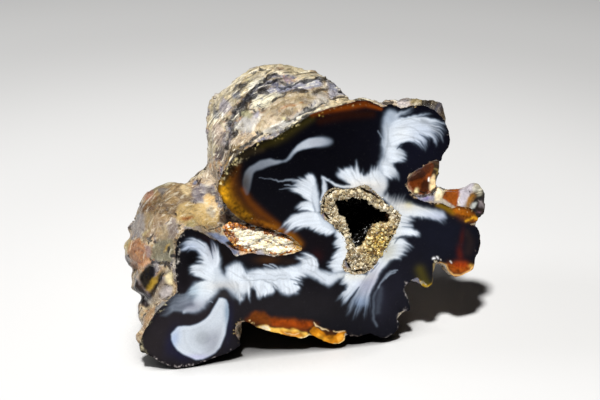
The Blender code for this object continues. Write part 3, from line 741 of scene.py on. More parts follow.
# Amber and golden light along the rims: points, half-widths, colour and strength.
GLOWS = [
    ([(236, 166), (229, 180), (231, 198), (241, 210), (256, 221), (274, 230)],
     [4, 8, 9, 8, 6, 4], (84, 46, 8), 0.95),
    ([(225, 180), (225, 190), (228, 200), (236, 208), (248, 217)], [4.5, 6, 6.5, 5.5, 4],
     (124, 85, 11), 0.95),
    ([(223, 183), (223, 192), (226, 199)], [3, 4, 3.5], (196, 140, 22), 0.9),
    ([(243, 190), (250, 203), (262, 214), (278, 225)], [3, 4, 4, 3], (96, 50, 8), 0.75),
    ([(228, 216), (234, 219), (240, 223)], [2.5, 3, 2.5], (206, 180, 92), 0.8),
    ([(262, 222), (278, 229), (292, 236), (299, 244)], [2, 3, 4, 4], (128, 76, 12), 0.8),
    ([(224, 184), (228, 172), (236, 160), (248, 152), (262, 149)], [2, 3.5, 4.5, 4, 3],
     (46, 38, 24), 0.85),
    ([(262, 146), (274, 141), (284, 135), (296, 127), (312, 118)], [3, 4.5, 5, 4.5, 3.5],
     (50, 44, 16), 0.9),
    ([(312, 115), (330, 110), (348, 107), (365, 104), (381, 109)], [2.2, 3.0, 3.4, 3.0, 1.5],
     (122, 56, 8), 0.85),
    ([(320, 121), (345, 115), (372, 114)], [4, 5, 4], (40, 16, 5), 0.6),
    ([(420, 270), (424, 280), (428, 285)], [5, 5, 4], (64, 58, 22), 0.95),
    ([(417, 279), (422, 284), (428, 287), (433, 284)], [1.0, 1.3, 1.4, 1.2], (205, 165, 40), 0.9),
    ([(434, 264), (434, 274), (433.5, 283)], [0.8, 0.8, 0.9], (190, 165, 110), 0.7),
    ([(438, 205), (446, 208), (453, 212)], [2.5, 3, 3], (120, 92, 12), 0.9),
    ([(456, 210), (465, 213), (473, 218)], [4, 5.5, 4], (158, 88, 14), 0.95),
    ([(466, 221), (474, 217), (477, 219)], [1.2, 1.5, 1.5], (222, 160, 40), 0.85),
    ([(467, 232), (470, 242), (468, 252)], [3, 5, 5], (36, 26, 26), 0.8),
    ([(450, 267), (457, 269), (466, 268)], [4, 5.5, 4.5], (150, 74, 14), 0.95),
    ([(457, 265), (464, 265)], [3.5, 3.5], (140, 46, 10), 0.8),
    ([(471, 266), (473, 268)], [2.0, 1.6], (196, 150, 66), 0.8),
    ([(440, 263), (446, 265.5), (448, 270), (453, 275), (461, 275.5), (470, 270.5), (474, 265)],
     [1.0, 1.3, 1.0, 1.0, 1.1, 0.9, 0.8], (222, 172, 104), 0.85),
    ([(433, 258.6), (434, 258.2), (435, 258.4)], [0.9, 1.1, 0.8], (250, 250, 250), 0.97),
    ([(436.8, 256.8), (437.6, 257.4), (438.2, 258.6)], [0.7, 0.9, 0.7], (240, 240, 244), 0.97),
    ([(440.5, 259.5), (441, 260)], [0.6, 0.5], (214, 206, 196), 0.9),
    ([(450, 261), (450.8, 261.8), (451.6, 263)], [0.5, 0.7, 0.5], (226, 220, 216), 0.9),
]
PLUME_WHITE = linear(226, 234, 244)
THIN_WHITE = (0.72, 0.84, 1.0)  # what red, green and blue are multiplied by where the white is thin
# Where the white is warm, grey or blue: centre, radii, turn, colour and strength.
PLUME_TINTS = [
    (366, 187, 26, 8, 0, (238, 232, 222), 0.8),
    (405, 205, 16, 9, 0, (228, 224, 214), 0.8),
    (409, 203, 4, 5, 0, (222, 212, 160), 0.7),
    (392, 232, 8, 16, 20, (226, 226, 216), 0.7),
    (388, 252, 8, 11, 30, (198, 198, 186), 0.9),
    (371, 280, 9, 14, 30, (186, 184, 198), 0.95),
    (360, 302, 12, 12, 0, (142, 162, 190), 0.97),
    (366, 286, 7, 12, 30, (168, 172, 192), 0.9),
    (349, 250, 6, 26, 0, (232, 232, 228), 0.8),
    (355, 276, 14, 4, 0, (236, 236, 228), 0.8),
    (205, 287, 30, 14, 0, (222, 230, 236), 0.6),
    (224, 286, 18, 5, 0, (214, 212, 210), 0.8),
    (192, 306, 16, 8, 0, (164, 164, 178), 0.8),
    (192, 290, 8, 9, 0, (176, 196, 212), 0.8),
    (190, 248, 14, 8, 0, (186, 200, 224), 0.8),
    (212, 247, 6, 12, 0, (150, 152, 166), 0.85),
    (390, 118, 10, 10, 0, (172, 186, 204), 0.7),
    (425, 136, 22, 16, 0, (208, 220, 240), 0.7),
    (402, 134, 10, 8, 0, (238, 244, 250), 0.8),
    (262, 182, 22, 30, 0, (136, 138, 146), 0.9),
    (245, 182, 6, 12, 0, (126, 116, 108), 0.9),
    (290, 158, 10, 10, 0, (150, 160, 174), 0.7),
    (318, 142, 16, 8, 0, (200, 206, 218), 0.8),
    (395, 195, 14, 9, 0, (168, 168, 170), 0.8),
    (436, 206, 16, 4, 0, (140, 126, 104), 0.8),
    (438, 217, 12, 6, 0, (206, 214, 236), 0.8),
    (174, 340, 5, 12, 15, (184, 202, 234), 0.9),
    (227, 312, 3, 16, 0, (142, 164, 186), 0.9),
    (198, 357, 18, 3, 0, (206, 206, 238), 0.8),
    (213, 342, 9, 14, 20, (188, 192, 206), 0.8),
]


def painted(base, lines, spots):
    """A colour canvas: a base colour with soft spots and then lines laid over it."""
    colours = np.empty(SHAPE + (3,))
    colours[:] = base
    ellipses = ((spot(*place), colour, strength) for *place, colour, strength in spots)
    strokes = ((stroke(points, widths), colour, strength) for points, widths, colour, strength in lines)
    for cover, colour, strength in itertools.chain(ellipses, strokes):
        colours += (strength * cover)[..., None] * (linear(*colour) - colours)
    return colours


# The rims of the face that show as a chipped line: points, half-widths, colour, how much of
# the line shows.
RIMS = [
    ([(222, 186), (226, 174), (233, 162), (243, 153), (256, 147), (270, 144)],
     [1.5, 2.6, 3.4, 3.6, 3.0, 2.0], (204, 190, 150), 0.28),
    ([(258, 141), (272, 137), (286, 130), (298, 123), (312, 116), (332, 110)],
     [2.0, 2.4, 2.6, 2.2, 1.8, 1.2], (190, 164, 84), 0.3),
    ([(226, 205), (219, 192), (221, 179), (230, 166), (242, 153), (262, 142), (284, 133), (302, 121)],
     [1.1, 1.0, 1.3, 1.5, 1.6, 1.7, 1.5, 1.2], (206, 190, 136), 0.5),
    ([(302, 121), (318, 113), (345, 105), (374, 103), (402, 107), (432, 106)],
     [0.7, 0.7, 0.7, 0.8, 0.9, 0.9], (190, 160, 110), 0.35),
    ([(436, 108), (443, 116), (448, 128), (449.5, 140), (448, 150), (441, 161)],
     [1.2, 0.9, 0.8, 1.0, 0.8, 0.8], (158, 154, 148), 0.5),
    ([(436, 160), (423, 166.5), (410, 176), (407, 185), (412, 193), (421, 200.5), (438, 203)],
     [0.6, 0.6, 0.9, 0.9, 0.9, 0.8, 0.8], (226, 196, 158), 0.75),
    ([(443, 204), (452, 208), (470, 208), (478, 218)], [0.6, 0.7, 0.7, 0.7], (214, 176, 110), 0.5),
    ([(478, 228), (480, 240), (476, 256), (474, 268)], [0.6, 0.6, 0.6, 0.6], (120, 104, 92), 0.35),
    ([(437, 260), (435, 272), (434, 284), (428, 288), (418, 281), (411, 282)],
     [1.4, 0.8, 0.9, 1.0, 0.8, 0.7], (212, 200, 170), 0.7),
    ([(406, 284), (405, 292), (408, 299), (409.5, 307), (404, 312), (400, 309), (398, 318),
      (398, 327), (391, 335), (384, 338)], [1.2, 0.9, 1.0, 1.2, 0.9, 0.9, 1.0, 0.8, 0.8, 0.9],
     (176, 170, 166), 0.75),
    ([(384, 338), (369, 333.5), (356, 336), (345, 335)], [0.9, 0.6, 0.6, 0.6], (120, 108, 100), 0.5),
    ([(262, 328), (250, 323), (242, 321), (236, 325), (235, 333), (240, 343)],
     [1.3, 1.3, 1.8, 1.6, 1.1, 0.9], (226, 196, 130), 0.8),
    ([(240, 345), (230, 352), (214, 357.5), (198, 364), (178, 367.5), (165, 364), (150, 356)],
     [0.9, 0.8, 1.0, 1.2, 1.0, 1.5, 0.9], (158, 150, 148), 0.6),
    ([(150, 356), (140, 350), (141, 341), (146, 329), (156, 314), (168, 303), (177, 292)],
     [1.2, 1.4, 1.2, 1.2, 1.2, 1.2, 1.3], (160, 152, 124), 0.6),
    ([(176.5, 292), (176, 275), (177, 258), (178, 245), (182, 236), (190, 232), (200, 234)],
     [1.2, 1.4, 1.2, 1.5, 1.6, 1.4, 1.0], (170, 164, 156), 0.45),
]


# Slabs of amber with crisp edges below the arm: outline, softness, colour and strength.
SLABS = [
    ([(245, 322), (248, 316), (254, 312), (263, 311.5), (270, 317), (281, 317.5), (295, 319.5),
      (311, 321), (318, 324), (316, 330), (300, 330), (270, 326), (256, 325)],
     1.5, (106, 52, 12), 0.95),
    ([(270, 319), (286, 319.5), (302, 321.5), (313, 323), (308, 328), (290, 327), (272, 325)],
     1.1, (146, 60, 10), 0.9),
    ([(256, 325.5), (262, 324), (268, 325), (274, 327.5), (284, 328), (296, 329.5), (303, 331),
      (308, 334), (304, 338), (295, 339), (285, 336.5), (275, 333.5), (266, 331), (258, 328)],
     0.5, (214, 168, 74), 0.97),
    ([(258, 326.5), (263, 325), (268, 326.5), (271, 329.5), (265, 330)], 0.5, (252, 238, 200), 0.95),
    ([(280, 330), (292, 331.5), (302, 333), (303, 336.5), (292, 337), (282, 334.5)],
     0.7, (180, 108, 24), 0.85),
    ([(309, 331), (314, 326), (321, 330), (327, 334), (335, 335), (339, 331.5), (345, 332),
      (345, 338.5), (338, 344), (329, 343.5), (321, 340.5), (315, 337.5)], 0.5, (186, 116, 16), 0.97),
    ([(319, 328), (328, 329), (337, 332), (334, 336), (326, 334.5)], 0.7, (60, 32, 10), 0.92),
    ([(318, 333), (325, 336.5), (331, 340.5), (324, 340), (316, 336)], 0.5, (216, 154, 44), 0.85),
    ([(336, 337), (343, 334), (344, 338), (338, 342)], 0.5, (222, 156, 52), 0.85),
]
# Lines along the slabs: points, half-widths, colour and strength.
SLAB_EDGES = [
    ([(258, 329), (266, 331.5), (275, 334), (285, 337), (295, 339), (304, 338), (309, 334.5)],
     [0.7, 0.7, 0.6, 0.7, 0.8, 0.7, 0.5], (246, 232, 188), 0.92),
    ([(309, 334), (314, 338), (322, 341.5), (330, 344), (338, 344), (343.5, 340), (345.5, 333)],
     [0.4, 0.6, 0.7, 0.8, 0.8, 0.7, 0.6], (238, 206, 132), 0.92),
    ([(313, 322), (316, 325.5), (322, 329), (328, 330.5)], [0.4, 0.45, 0.5, 0.4], (240, 214, 164), 0.85),
    ([(334, 331), (340, 331.5), (345, 331)], [0.4, 0.5, 0.5], (236, 204, 150), 0.85),
    ([(270, 325), (284, 327.5), (300, 330), (308, 331)], [0.4, 0.4, 0.5, 0.5], (120, 50, 12), 0.7),
    ([(284, 332), (290, 334), (298, 334)], [0.4, 0.5, 0.4], (240, 208, 150), 0.7),
]


def slabs(rng, ground):
    """The amber slabs, a little mottled, with their pale edges."""
    mottle = np.clip(1.0 + 0.16 * speckle(rng, 2.2) + 0.10 * speckle(rng, 0.8), 0.4, 1.6)[..., None]
    for outline, soft, colour, strength in SLABS:
        cover = warped(area(outline, soft) * strength, rng, [(0.4, 1.6)])
        ground = laid_over(ground, linear(*colour) * mottle, cover)
    for points, widths, colour, strength in SLAB_EDGES:
        cover = warped(stroke(points, widths) * strength, rng, [(0.4, 1.2)])
        ground = laid_over(ground, linear(*colour), cover)
    return ground


# The amber that glitters with fine grains: points and half-widths.
GRAINY = [
    ([(234, 168), (226, 182), (226, 196), (236, 210), (254, 222), (276, 231), (298, 244)],
     [4, 8, 9, 8, 6, 4, 3]),
    ([(450, 268), (460, 268), (470, 267)], [4, 6, 4]), ([(456, 212), (474, 218)], [4, 5]),
]


def grained(rng, ground):
    """The amber broken up by brown clouds, dark grains and tiny glints."""
    amount = united(stroke(points, widths) for points, widths in GRAINY)
    clouds = 1.0 + 0.22 * speckle(rng, 3.0) + 0.22 * speckle(rng, 1.1) + 0.16 * speckle(rng, 0.5)
    clouds = np.clip(clouds, 0.25, 1.9)
    ground = ground * (1 + amount * (clouds - 1))[..., None]
    glints = np.clip(speckle(rng, 0.42) - 2.5, 0, 1) * amount
    return laid_over(ground, linear(255, 236, 170), glints)


def speckle(rng, sigma):
    """Even blotches of sigma pixels, with a mean of 0 and a deviation of 1."""
    cells = blurred(rng.normal(0, 1, SHAPE), sigma)
    return cells / cells.std()


def chipped_edges(rng, ground, white):
    """Broken pale lines, with dark beside them, where the face meets the rind."""
    flecks = speckle(rng, 0.5) + 0.7 * speckle(rng, 1.3) + 0.9 * speckle(rng, 3.5)
    tone = np.clip(0.62 + 0.42 * speckle(rng, 0.7) + 0.25 * speckle(rng, 2.0), 0.04, 1.5)[..., None]
    for points, widths, colour, share in RIMS:
        line = warped(stroke(points, widths), rng, [(0.9, 1.6)])
        chips = np.clip((flecks - 2.2 + 2.8 * share) * 1.1, 0.0, 1.0) * np.clip(line * 1.3, 0, 1)
        near = stroke(points, [w * 2.2 for w in widths]) * 0.75
        ground = laid_over(ground, ground * 0.5, 0.8 * near)
        ground = laid_over(ground, linear(*colour) * tone, chips)
        white = white * (1 - np.maximum(chips, near * 0.6))
    return ground, white


def sampled(cells, pixels):
    """The canvas read at pixels, between its cells."""
    x = np.clip((pixels[:, 0] - LEFT) * CELLS - 0.5, 0, SHAPE[1] - 1.001)
    y = np.clip((pixels[:, 1] - TOP) * CELLS - 0.5, 0, SHAPE[0] - 1.001)
    column, row = x.astype(int), y.astype(int)
    fx, fy = x - column, y - row
    if cells.ndim == 3:
        fx, fy = fx[:, None], fy[:, None]
    above = cells[row, column] * (1 - fx) + cells[row, column + 1] * fx
    below = cells[row + 1, column] * (1 - fx) + cells[row + 1, column + 1] * fx
    return above * (1 - fy) + below * fy


# ---------------------------------------------------------------- meshes

def add_mesh(name, points, faces):
    """A new object from points in mm and lists of corners."""
    mesh = bpy.data.meshes.new(name)
    points = np.asarray(points, float) * MM
    mesh.from_pydata(points.tolist(), [], [list(map(int, face)) for face in faces])
    mesh.validate()
    obj = bpy.data.objects.new(name, mesh)
    bpy.context.scene.collection.objects.link(obj)
    return obj


def points_of(obj):
    """An object's points in mm."""
    co = np.empty(len(obj.data.vertices) * 3, np.float32)
    obj.data.vertices.foreach_get("co", co)
    return co.reshape(-1, 3).astype(float) / MM


def normals_of(obj):
    out = np.empty(len(obj.data.vertices) * 3, np.float32)
    obj.data.vertex_normals.foreach_get("vector", out)
    return out.reshape(-1, 3).astype(float)


def set_points(obj, points):
    obj.data.vertices.foreach_set("co", (points * MM).astype(np.float32).ravel())
    obj.data.update()


def with_mask(colours, mask):
    """Colours with a mask as their fourth value."""
    return np.concatenate([colours, mask[:, None]], axis=1)


def set_colours(obj, name, colours):
    """A colour for each vertex, with its fourth value as a mask."""
    layer = obj.data.attributes.new(name, "FLOAT_COLOR", "POINT")
    layer.data.foreach_set("color", colours.astype(np.float32).ravel())


def set_values(obj, name, values):
    layer = obj.data.attributes.new(name, "FLOAT", "POINT")
    layer.data.foreach_set("value", values.astype(np.float32))


def set_vectors(obj, name, vectors):
    layer = obj.data.attributes.new(name, "FLOAT_VECTOR", "POINT")
    layer.data.foreach_set("vector", vectors.astype(np.float32).ravel())


def smooth_shaded(obj):
    obj.data.polygons.foreach_set("use_smooth", np.ones(len(obj.data.polygons), bool))


def finer_copy(node, name, voxel, smoothings=0):
    """A copy of one of the frame's nodes, remade of voxels of a size in mm and smoothed."""
    obj = bpy.data.objects.new(name, frame["nodes"][node].data.copy())
    obj.data.materials.clear()
    bpy.context.scene.collection.objects.link(obj)
    remesh = obj.modifiers.new("Finer skin", "REMESH")
    remesh.mode = "VOXEL"
    remesh.voxel_size = voxel * MM
    if smoothings:
        ease = obj.modifiers.new("Ease facets", "SMOOTH")
        ease.factor = 0.5
        ease.iterations = smoothings
    graph = bpy.context.evaluated_depsgraph_get()
    obj.data = bpy.data.meshes.new_from_object(obj.evaluated_get(graph))
    obj.modifiers.clear()
    return obj


def rounded(points, spacing, nick):
    """An outline in mm made smooth and even, with small irregular nicks of about a depth."""
    points = np.asarray(points, float)
    before, after = np.roll(points, 1, axis=0), np.roll(points, -1, axis=0)
    beyond = np.roll(points, -2, axis=0)
    curve = []
    for a, b, c, d in zip(before, points, after, beyond):
        steps = max(2, int(np.linalg.norm(c - b) / 0.1))
        t = (np.arange(steps) / steps)[:, None]
        bend = 2 * b + (c - a) * t + (2 * a - 5 * b + 4 * c - d) * t ** 2
        curve.append((bend + (3 * b - a - 3 * c + d) * t ** 3) / 2)
    curve = np.concatenate(curve)
    lengths = np.linalg.norm(np.roll(curve, -1, axis=0) - curve, axis=1)
    ends = np.concatenate([[0], np.cumsum(lengths)])
    count = int(ends[-1] / spacing)
    at = np.arange(count) * ends[-1] / count
    closed = np.concatenate([curve, curve[:1]])
    even = np.stack([np.interp(at, ends, closed[:, i]) for i in (0, 1)], axis=1)
    side = np.roll(even, -1, axis=0) - np.roll(even, 1, axis=0)
    side = np.stack([side[:, 1], -side[:, 0]], axis=1)
    side /= np.linalg.norm(side, axis=1)[:, None] + 1e-9
    waves = np.array([
        noise.noise(Vector((u * 1.1, v * 1.1, 3.0))) + 0.5 * noise.noise(Vector((u * 3, v * 3, 8.0)))
        for u, v in even
    ])
    return even + side * (nick * waves)[:, None]


PLATE_GRAIN = 0.17  # mm between the vertices of the polished face
PLATE_DEPTH = 0.7
RIM_SPACING = 0.2
OUTLINE_NICK, POCKET_NICK = 0.16, 0.2


def build_polished_face():
    """The polished face as a thin closed plate that carries the plumes."""
    outline = rounded(along_face(OUTLINE), RIM_SPACING, OUTLINE_NICK)
    pocket = rounded(along_face(POCKET_RIM), RIM_SPACING, POCKET_NICK)
    low, high = outline.min(axis=0), outline.max(axis=0)
    u, v = np.arange(low[0], high[0], PLATE_GRAIN), np.arange(low[1], high[1], PLATE_GRAIN)
    grid = np.stack(np.meshgrid(u, v), axis=-1)
    grid[1::2, :, 0] += PLATE_GRAIN / 2
    grid = grid.reshape(-1, 2)
    keep = inside_outline(*grid.T, outline) & ~inside_outline(*grid.T, pocket)
    rims = np.concatenate([outline, pocket])
    taken = {tuple(cell) for cell in (rims // PLATE_GRAIN).astype(int).tolist()}
    keep &= np.array([
        tuple(cell) not in taken for cell in (grid // PLATE_GRAIN).astype(int).tolist()
    ])
    first, second = len(outline), len(pocket)
    edges = [(i, (i + 1) % first) for i in range(first)]
    edges += [(first + i, first + (i + 1) % second) for i in range(second)]
    inner = grid[keep]
    flat = [Vector(point) for point in np.concatenate([rims, inner]).tolist()]
    made = delaunay_2d_cdt(flat, edges, [], 0, 1e-7)
    front = face_triangles(made, outline, pocket)
    rear_made = delaunay_2d_cdt(flat[:len(rims)], edges, [], 0, 1e-7)
    rear = face_triangles(rear_made, outline, pocket)
    count = len(flat)
    points = np.concatenate([
        from_face(np.concatenate([rims, inner])), from_face(rims, PLATE_DEPTH),
    ])
    faces = [tuple(face) for face in front]
    faces += [tuple(count + i for i in reversed(face)) for face in rear]
    for a, b in edges:
        faces.append((a, b, count + b, count + a))
    plate = add_mesh("polished_face", points, faces)
    tidy_normals(plate)
    return plate


def face_triangles(made, outline, pocket):
    """The triangles of a triangulation that lie on the face, by the numbers of the points given."""
    points = np.array([tuple(point) for point in made[0]])
    given = [ids[0] for ids in made[3]]
    faces = np.array(made[2])
    middles = points[faces].mean(axis=1)
    keep = inside_outline(*middles.T, outline) & ~inside_outline(*middles.T, pocket)
    return [[given[i] for i in face] for face in faces[keep]]


def tidy_normals(obj):
    bm = bmesh.new()
    bm.from_mesh(obj.data)
    bmesh.ops.recalc_face_normals(bm, faces=bm.faces)
    bm.to_mesh(obj.data)
    bm.free()


# ---------------------------------------------------------------- node materials

class Nodes:
    """A short way to write a material's nodes."""

    def __init__(self, name):
        self.material = bpy.data.materials.new(name)
        self.material.use_nodes = True
        self.tree = self.material.node_tree
        self.shader = self.tree.nodes["Principled BSDF"]

    def add(self, kind, inputs=None, **settings):
        node = self.tree.nodes.new(kind)
        for key, value in settings.items():
            setattr(node, key, value)
        for key, value in (inputs or {}).items():
            self.put(node.inputs[key], value)
        return node

    def put(self, socket, value):
        if isinstance(value, bpy.types.NodeSocket):
            self.tree.links.new(value, socket)
        elif isinstance(value, (tuple, list, np.ndarray)) and len(value) == 3:
            try:
                socket.default_value = (*[float(v) for v in value], 1.0)
            except ValueError:
                socket.default_value = [float(v) for v in value]
        else:
            socket.default_value = value

    def place(self, scale=1000.0):
        """The point on the object, in mm."""
        coordinates = self.add("ShaderNodeTexCoord")
        return self.add(
            "ShaderNodeVectorMath", {0: coordinates.outputs["Object"], "Scale": scale},
            operation="SCALE").outputs[0]

    def noise(self, scale, detail=3.0, roughness=0.55, distortion=0.0, place=None):
        made = self.add("ShaderNodeTexNoise", {
            "Vector": place or self.place(), "Scale": scale, "Detail": detail,
            "Roughness": roughness, "Distortion": distortion})
        return made.outputs["Fac"]

    def ramp(self, value, stops, smooth=False):
        made = self.add("ShaderNodeValToRGB", {"Fac": value})
        made.color_ramp.interpolation = "EASE" if smooth else "LINEAR"
        elements = made.color_ramp.elements
        while len(elements) < len(stops):
            elements.new(0.5)
        for element, (position, colour) in zip(elements, stops):
            element.position = position
            if isinstance(colour, (int, float)):
                colour = (colour, colour, colour)
            element.color = (*[float(v) for v in colour], 1.0)
        return made.outputs["Color"]

    def mix(self, factor, a, b, blend="MIX"):
        made = self.add("ShaderNodeMix", data_type="RGBA", blend_type=blend)
        self.put(made.inputs[0], factor)
        self.put(made.inputs[6], a)
        self.put(made.inputs[7], b)
        return made.outputs[2]

    def stained(self, under, over, where, stops, amount=None):
        """A colour with another over it where a ramp of a value says, times an amount."""
        cover = self.ramp(where, stops)
        if amount is not None:
            cover = self.math("MULTIPLY", cover, amount)
        return self.mix(cover, under, over)

    def math(self, operation, a, b=0.0, c=0.0):
        made = self.add("ShaderNodeMath", {0: a, 1: b, 2: c}, operation=operation)
        return made.outputs[0]

    def colour(self, name):
        return self.add("ShaderNodeAttribute", attribute_name=name).outputs["Color"]

    def mask(self, name):
        return self.add("ShaderNodeAttribute", attribute_name=name).outputs["Alpha"]

    def value(self, name):
        return self.add("ShaderNodeAttribute", attribute_name=name).outputs["Fac"]

    def bump(self, height, strength, distance):
        """distance is in mm."""
        return self.add("ShaderNodeBump", {
            "Height": height, "Strength": strength, "Distance": distance * MM}).outputs[0]

    def finish(self, colour, roughness, normal=None, **constants):
        self.put(self.shader.inputs["Base Color"], colour)
        self.put(self.shader.inputs["Roughness"], roughness)
        if normal is not None:
            self.put(self.shader.inputs["Normal"], normal)
        for key, value in constants.items():
            self.shader.inputs[key.replace("_", " ")].default_value = value
        return self.material


def polished_material():
    """Polished chalcedony: painted ground and plumes, a little cloudy, with a few fine specks."""
    net = Nodes("polished_chalcedony")
    bright = net.mix(1.0, net.colour("ground"), (1.6, 1.6, 1.75), "MULTIPLY")
    ground = net.stained(net.colour("ground"), bright, net.noise(0.35, 4.0), [(0.35, 0.0), (0.75, 0.35)])
    wisps = net.ramp(net.noise(3.2, 4.0, 0.6, 0.4), [(0.3, 0.22), (0.62, 0.0)])
    plume = net.mix(wisps, net.colour("plumes"), (0.42, 0.5, 0.62), "MULTIPLY")
    colour = net.mix(net.mask("plumes"), ground, plume)
    specks = net.noise(7.0, 1.0, 0.5)
    colour = net.stained(colour, (0.5, 0.5, 0.5), specks, [(0.74, 0.0), (0.80, 1.0)], 0.12)
    rough = net.ramp(net.noise(1.6, 3.0), [(0.3, 0.10), (0.8, 0.2)])
    normal = net.bump(net.noise(0.6, 2.0), 0.05, 0.2)
    return net.finish(colour, rough, normal, Specular_IOR_Level=0.045)


def rind_material():
    """The weathered outside: painted patches broken up by grain, stains and streaks, with dark cracks and
    painted shade in its crevices and pits.
    """
    net = Nodes("agate_rind")
    base, keep = net.colour("rind"), net.mask("rind")
    plain = net.math("SUBTRACT", 1.0, net.value("drawn"))
    dry = net.math("MULTIPLY_ADD", net.value("waxy"), -0.7, 1.0)
    grain = net.noise(1.3, 6.0, 0.62, 0.8)
    fine = net.noise(4.2, 4.0, 0.6, 0.4)
    stain = net.noise(0.5, 4.0, 0.6, 0.8)
    pale = net.mix(0.5, base, linear(240, 230, 204))
    colour = net.stained(base, pale, grain, [(0.50, 0.0), (0.62, 1.0)],
                         net.math("MULTIPLY_ADD", plain, 0.6, 0.2))
    speckled = net.math("MULTIPLY", net.math("MULTIPLY_ADD", plain, 0.35, 0.45), dry)
    dark = net.mix(0.85, base, linear(34, 26, 24))
    colour = net.stained(colour, dark, grain, [(0.36, 1.0), (0.46, 0.0)], speckled)
    flow = net.add("ShaderNodeAttribute", attribute_name="flow").outputs["Vector"]
    streak = net.noise(1.0, 6.0, 0.6, 1.3, place=flow)
    streaky = net.math("MULTIPLY", net.value("streaky"), net.ramp(stain, [(0.40, 0.35), (0.56, 1.0)]))
    for over, where, stops, amount in (
        (linear(176, 118, 52), stain, [(0.56, 0.0), (0.66, 0.6)], plain),
        (linear(112, 118, 146), stain, [(0.32, 0.6), (0.42, 0.0)], plain),
        (linear(26, 18, 16), fine, [(0.33, 0.75), (0.38, 0.0)], dry),
        (linear(246, 238, 216), fine, [(0.66, 0.0), (0.70, 0.8)], dry),
        (linear(250, 244, 222), streak, [(0.575, 0.0), (0.595, 0.92)], streaky),
        (linear(16, 14, 18), streak, [(0.415, 0.95), (0.435, 0.0)], streaky),
    ):
        colour = net.stained(colour, over, where, stops, amount)
    # Dark cracks, partly painted shade: near black in the crevices and pits.
    crack_shade = net.math("MULTIPLY_ADD", fine, 0.5, net.value("cavity"))
    colour = net.stained(colour, net.mix(0.92, colour, linear(14, 10, 9)), crack_shade,
                         [(0.52, 0.0), (0.66, 0.95)])
    ink = net.math("MULTIPLY_ADD", grain, 0.9, net.value("ink"))
    colour = net.stained(colour, net.mix(0.85, base, linear(12, 10, 14)), ink,
                         [(0.86, 0.0), (0.98, 0.95)])
    colour = net.mix(keep, colour, base)
    rough = net.ramp(net.noise(0.7, 3.0), [(0.35, 0.2), (0.7, 0.42)])
    rough = net.mix(keep, rough, (0.3, 0.3, 0.3))
    height = net.math("ADD", net.math("MULTIPLY", grain, 0.7), net.math("MULTIPLY", fine, 0.3))
    height = net.math("MULTIPLY_ADD", net.math("MULTIPLY", streak, streaky), 0.9, height)
    height = net.math("MULTIPLY", height, net.math("SUBTRACT", 1.0, keep))
    return net.finish(colour, rough, net.bump(height, 0.7, 0.4), Specular_IOR_Level=0.6)


def glass_material():
    """The rind's broken, glassy facets: their painted colour, clouded and hardly shining."""
    net = Nodes("agate_glass")
    cloud = net.ramp(net.noise(0.9, 4.0, 0.6, 0.5), [(0.35, 0.72), (0.65, 1.25)])
    colour = net.mix(1.0, net.colour("rind"), cloud, "MULTIPLY")
    rough = net.ramp(net.noise(1.2, 3.0), [(0.35, 0.16), (0.7, 0.32)])
    return net.finish(colour, rough, net.bump(net.noise(1.5, 3.0), 0.15, 0.2), Specular_IOR_Level=0.12)


def crystal_material(name, brown):
    """Quartz crystals: each vertex's own colour, sugary and glinting, with some brown in it."""
    net = Nodes(name)
    base = net.colour("crystal")
    grain = net.noise(2.6, 5.0, 0.65, 0.3)
    colour = net.stained(base, net.mix(0.8, base, linear(60, 40, 20)), grain,
                         [(0.33, brown), (0.48, 0.0)])
    colour = net.stained(colour, linear(250, 240, 214), grain, [(0.58, 0.0), (0.70, 0.6)])
    # Darkened by the mask, which carries the painted shade deep in the pocket.
    colour = net.mix(net.mask("crystal"), colour, net.mix(0.9, base, (0.0, 0.0, 0.0)))
    rough = net.ramp(net.noise(1.2, 2.0), [(0.35, 0.12), (0.7, 0.38)])
    return net.finish(colour, rough, net.bump(grain, 0.4, 0.25), Specular_IOR_Level=0.6)


# ---------------------------------------------------------------- the rind

RIND_VOXEL = 0.64
RIND_FRONT = 0.1  # how far behind the polished plate's front the rind starts

# Boxes in the picture, as left, top, right and bottom pixels.
LOBE_FACETS_BOX = (404, 156, 492, 228)  # small facets, so the skin is split once more
WAXY_BOX = (402, 156, 600, 230)  # the same facets, with fewer dark specks
LEFT_SIDE_BOX = (0, 176, 222, 400)  # gentler relief
LEFT_FOLDS_BOX = (0, 180, 200, 240)  # less ink

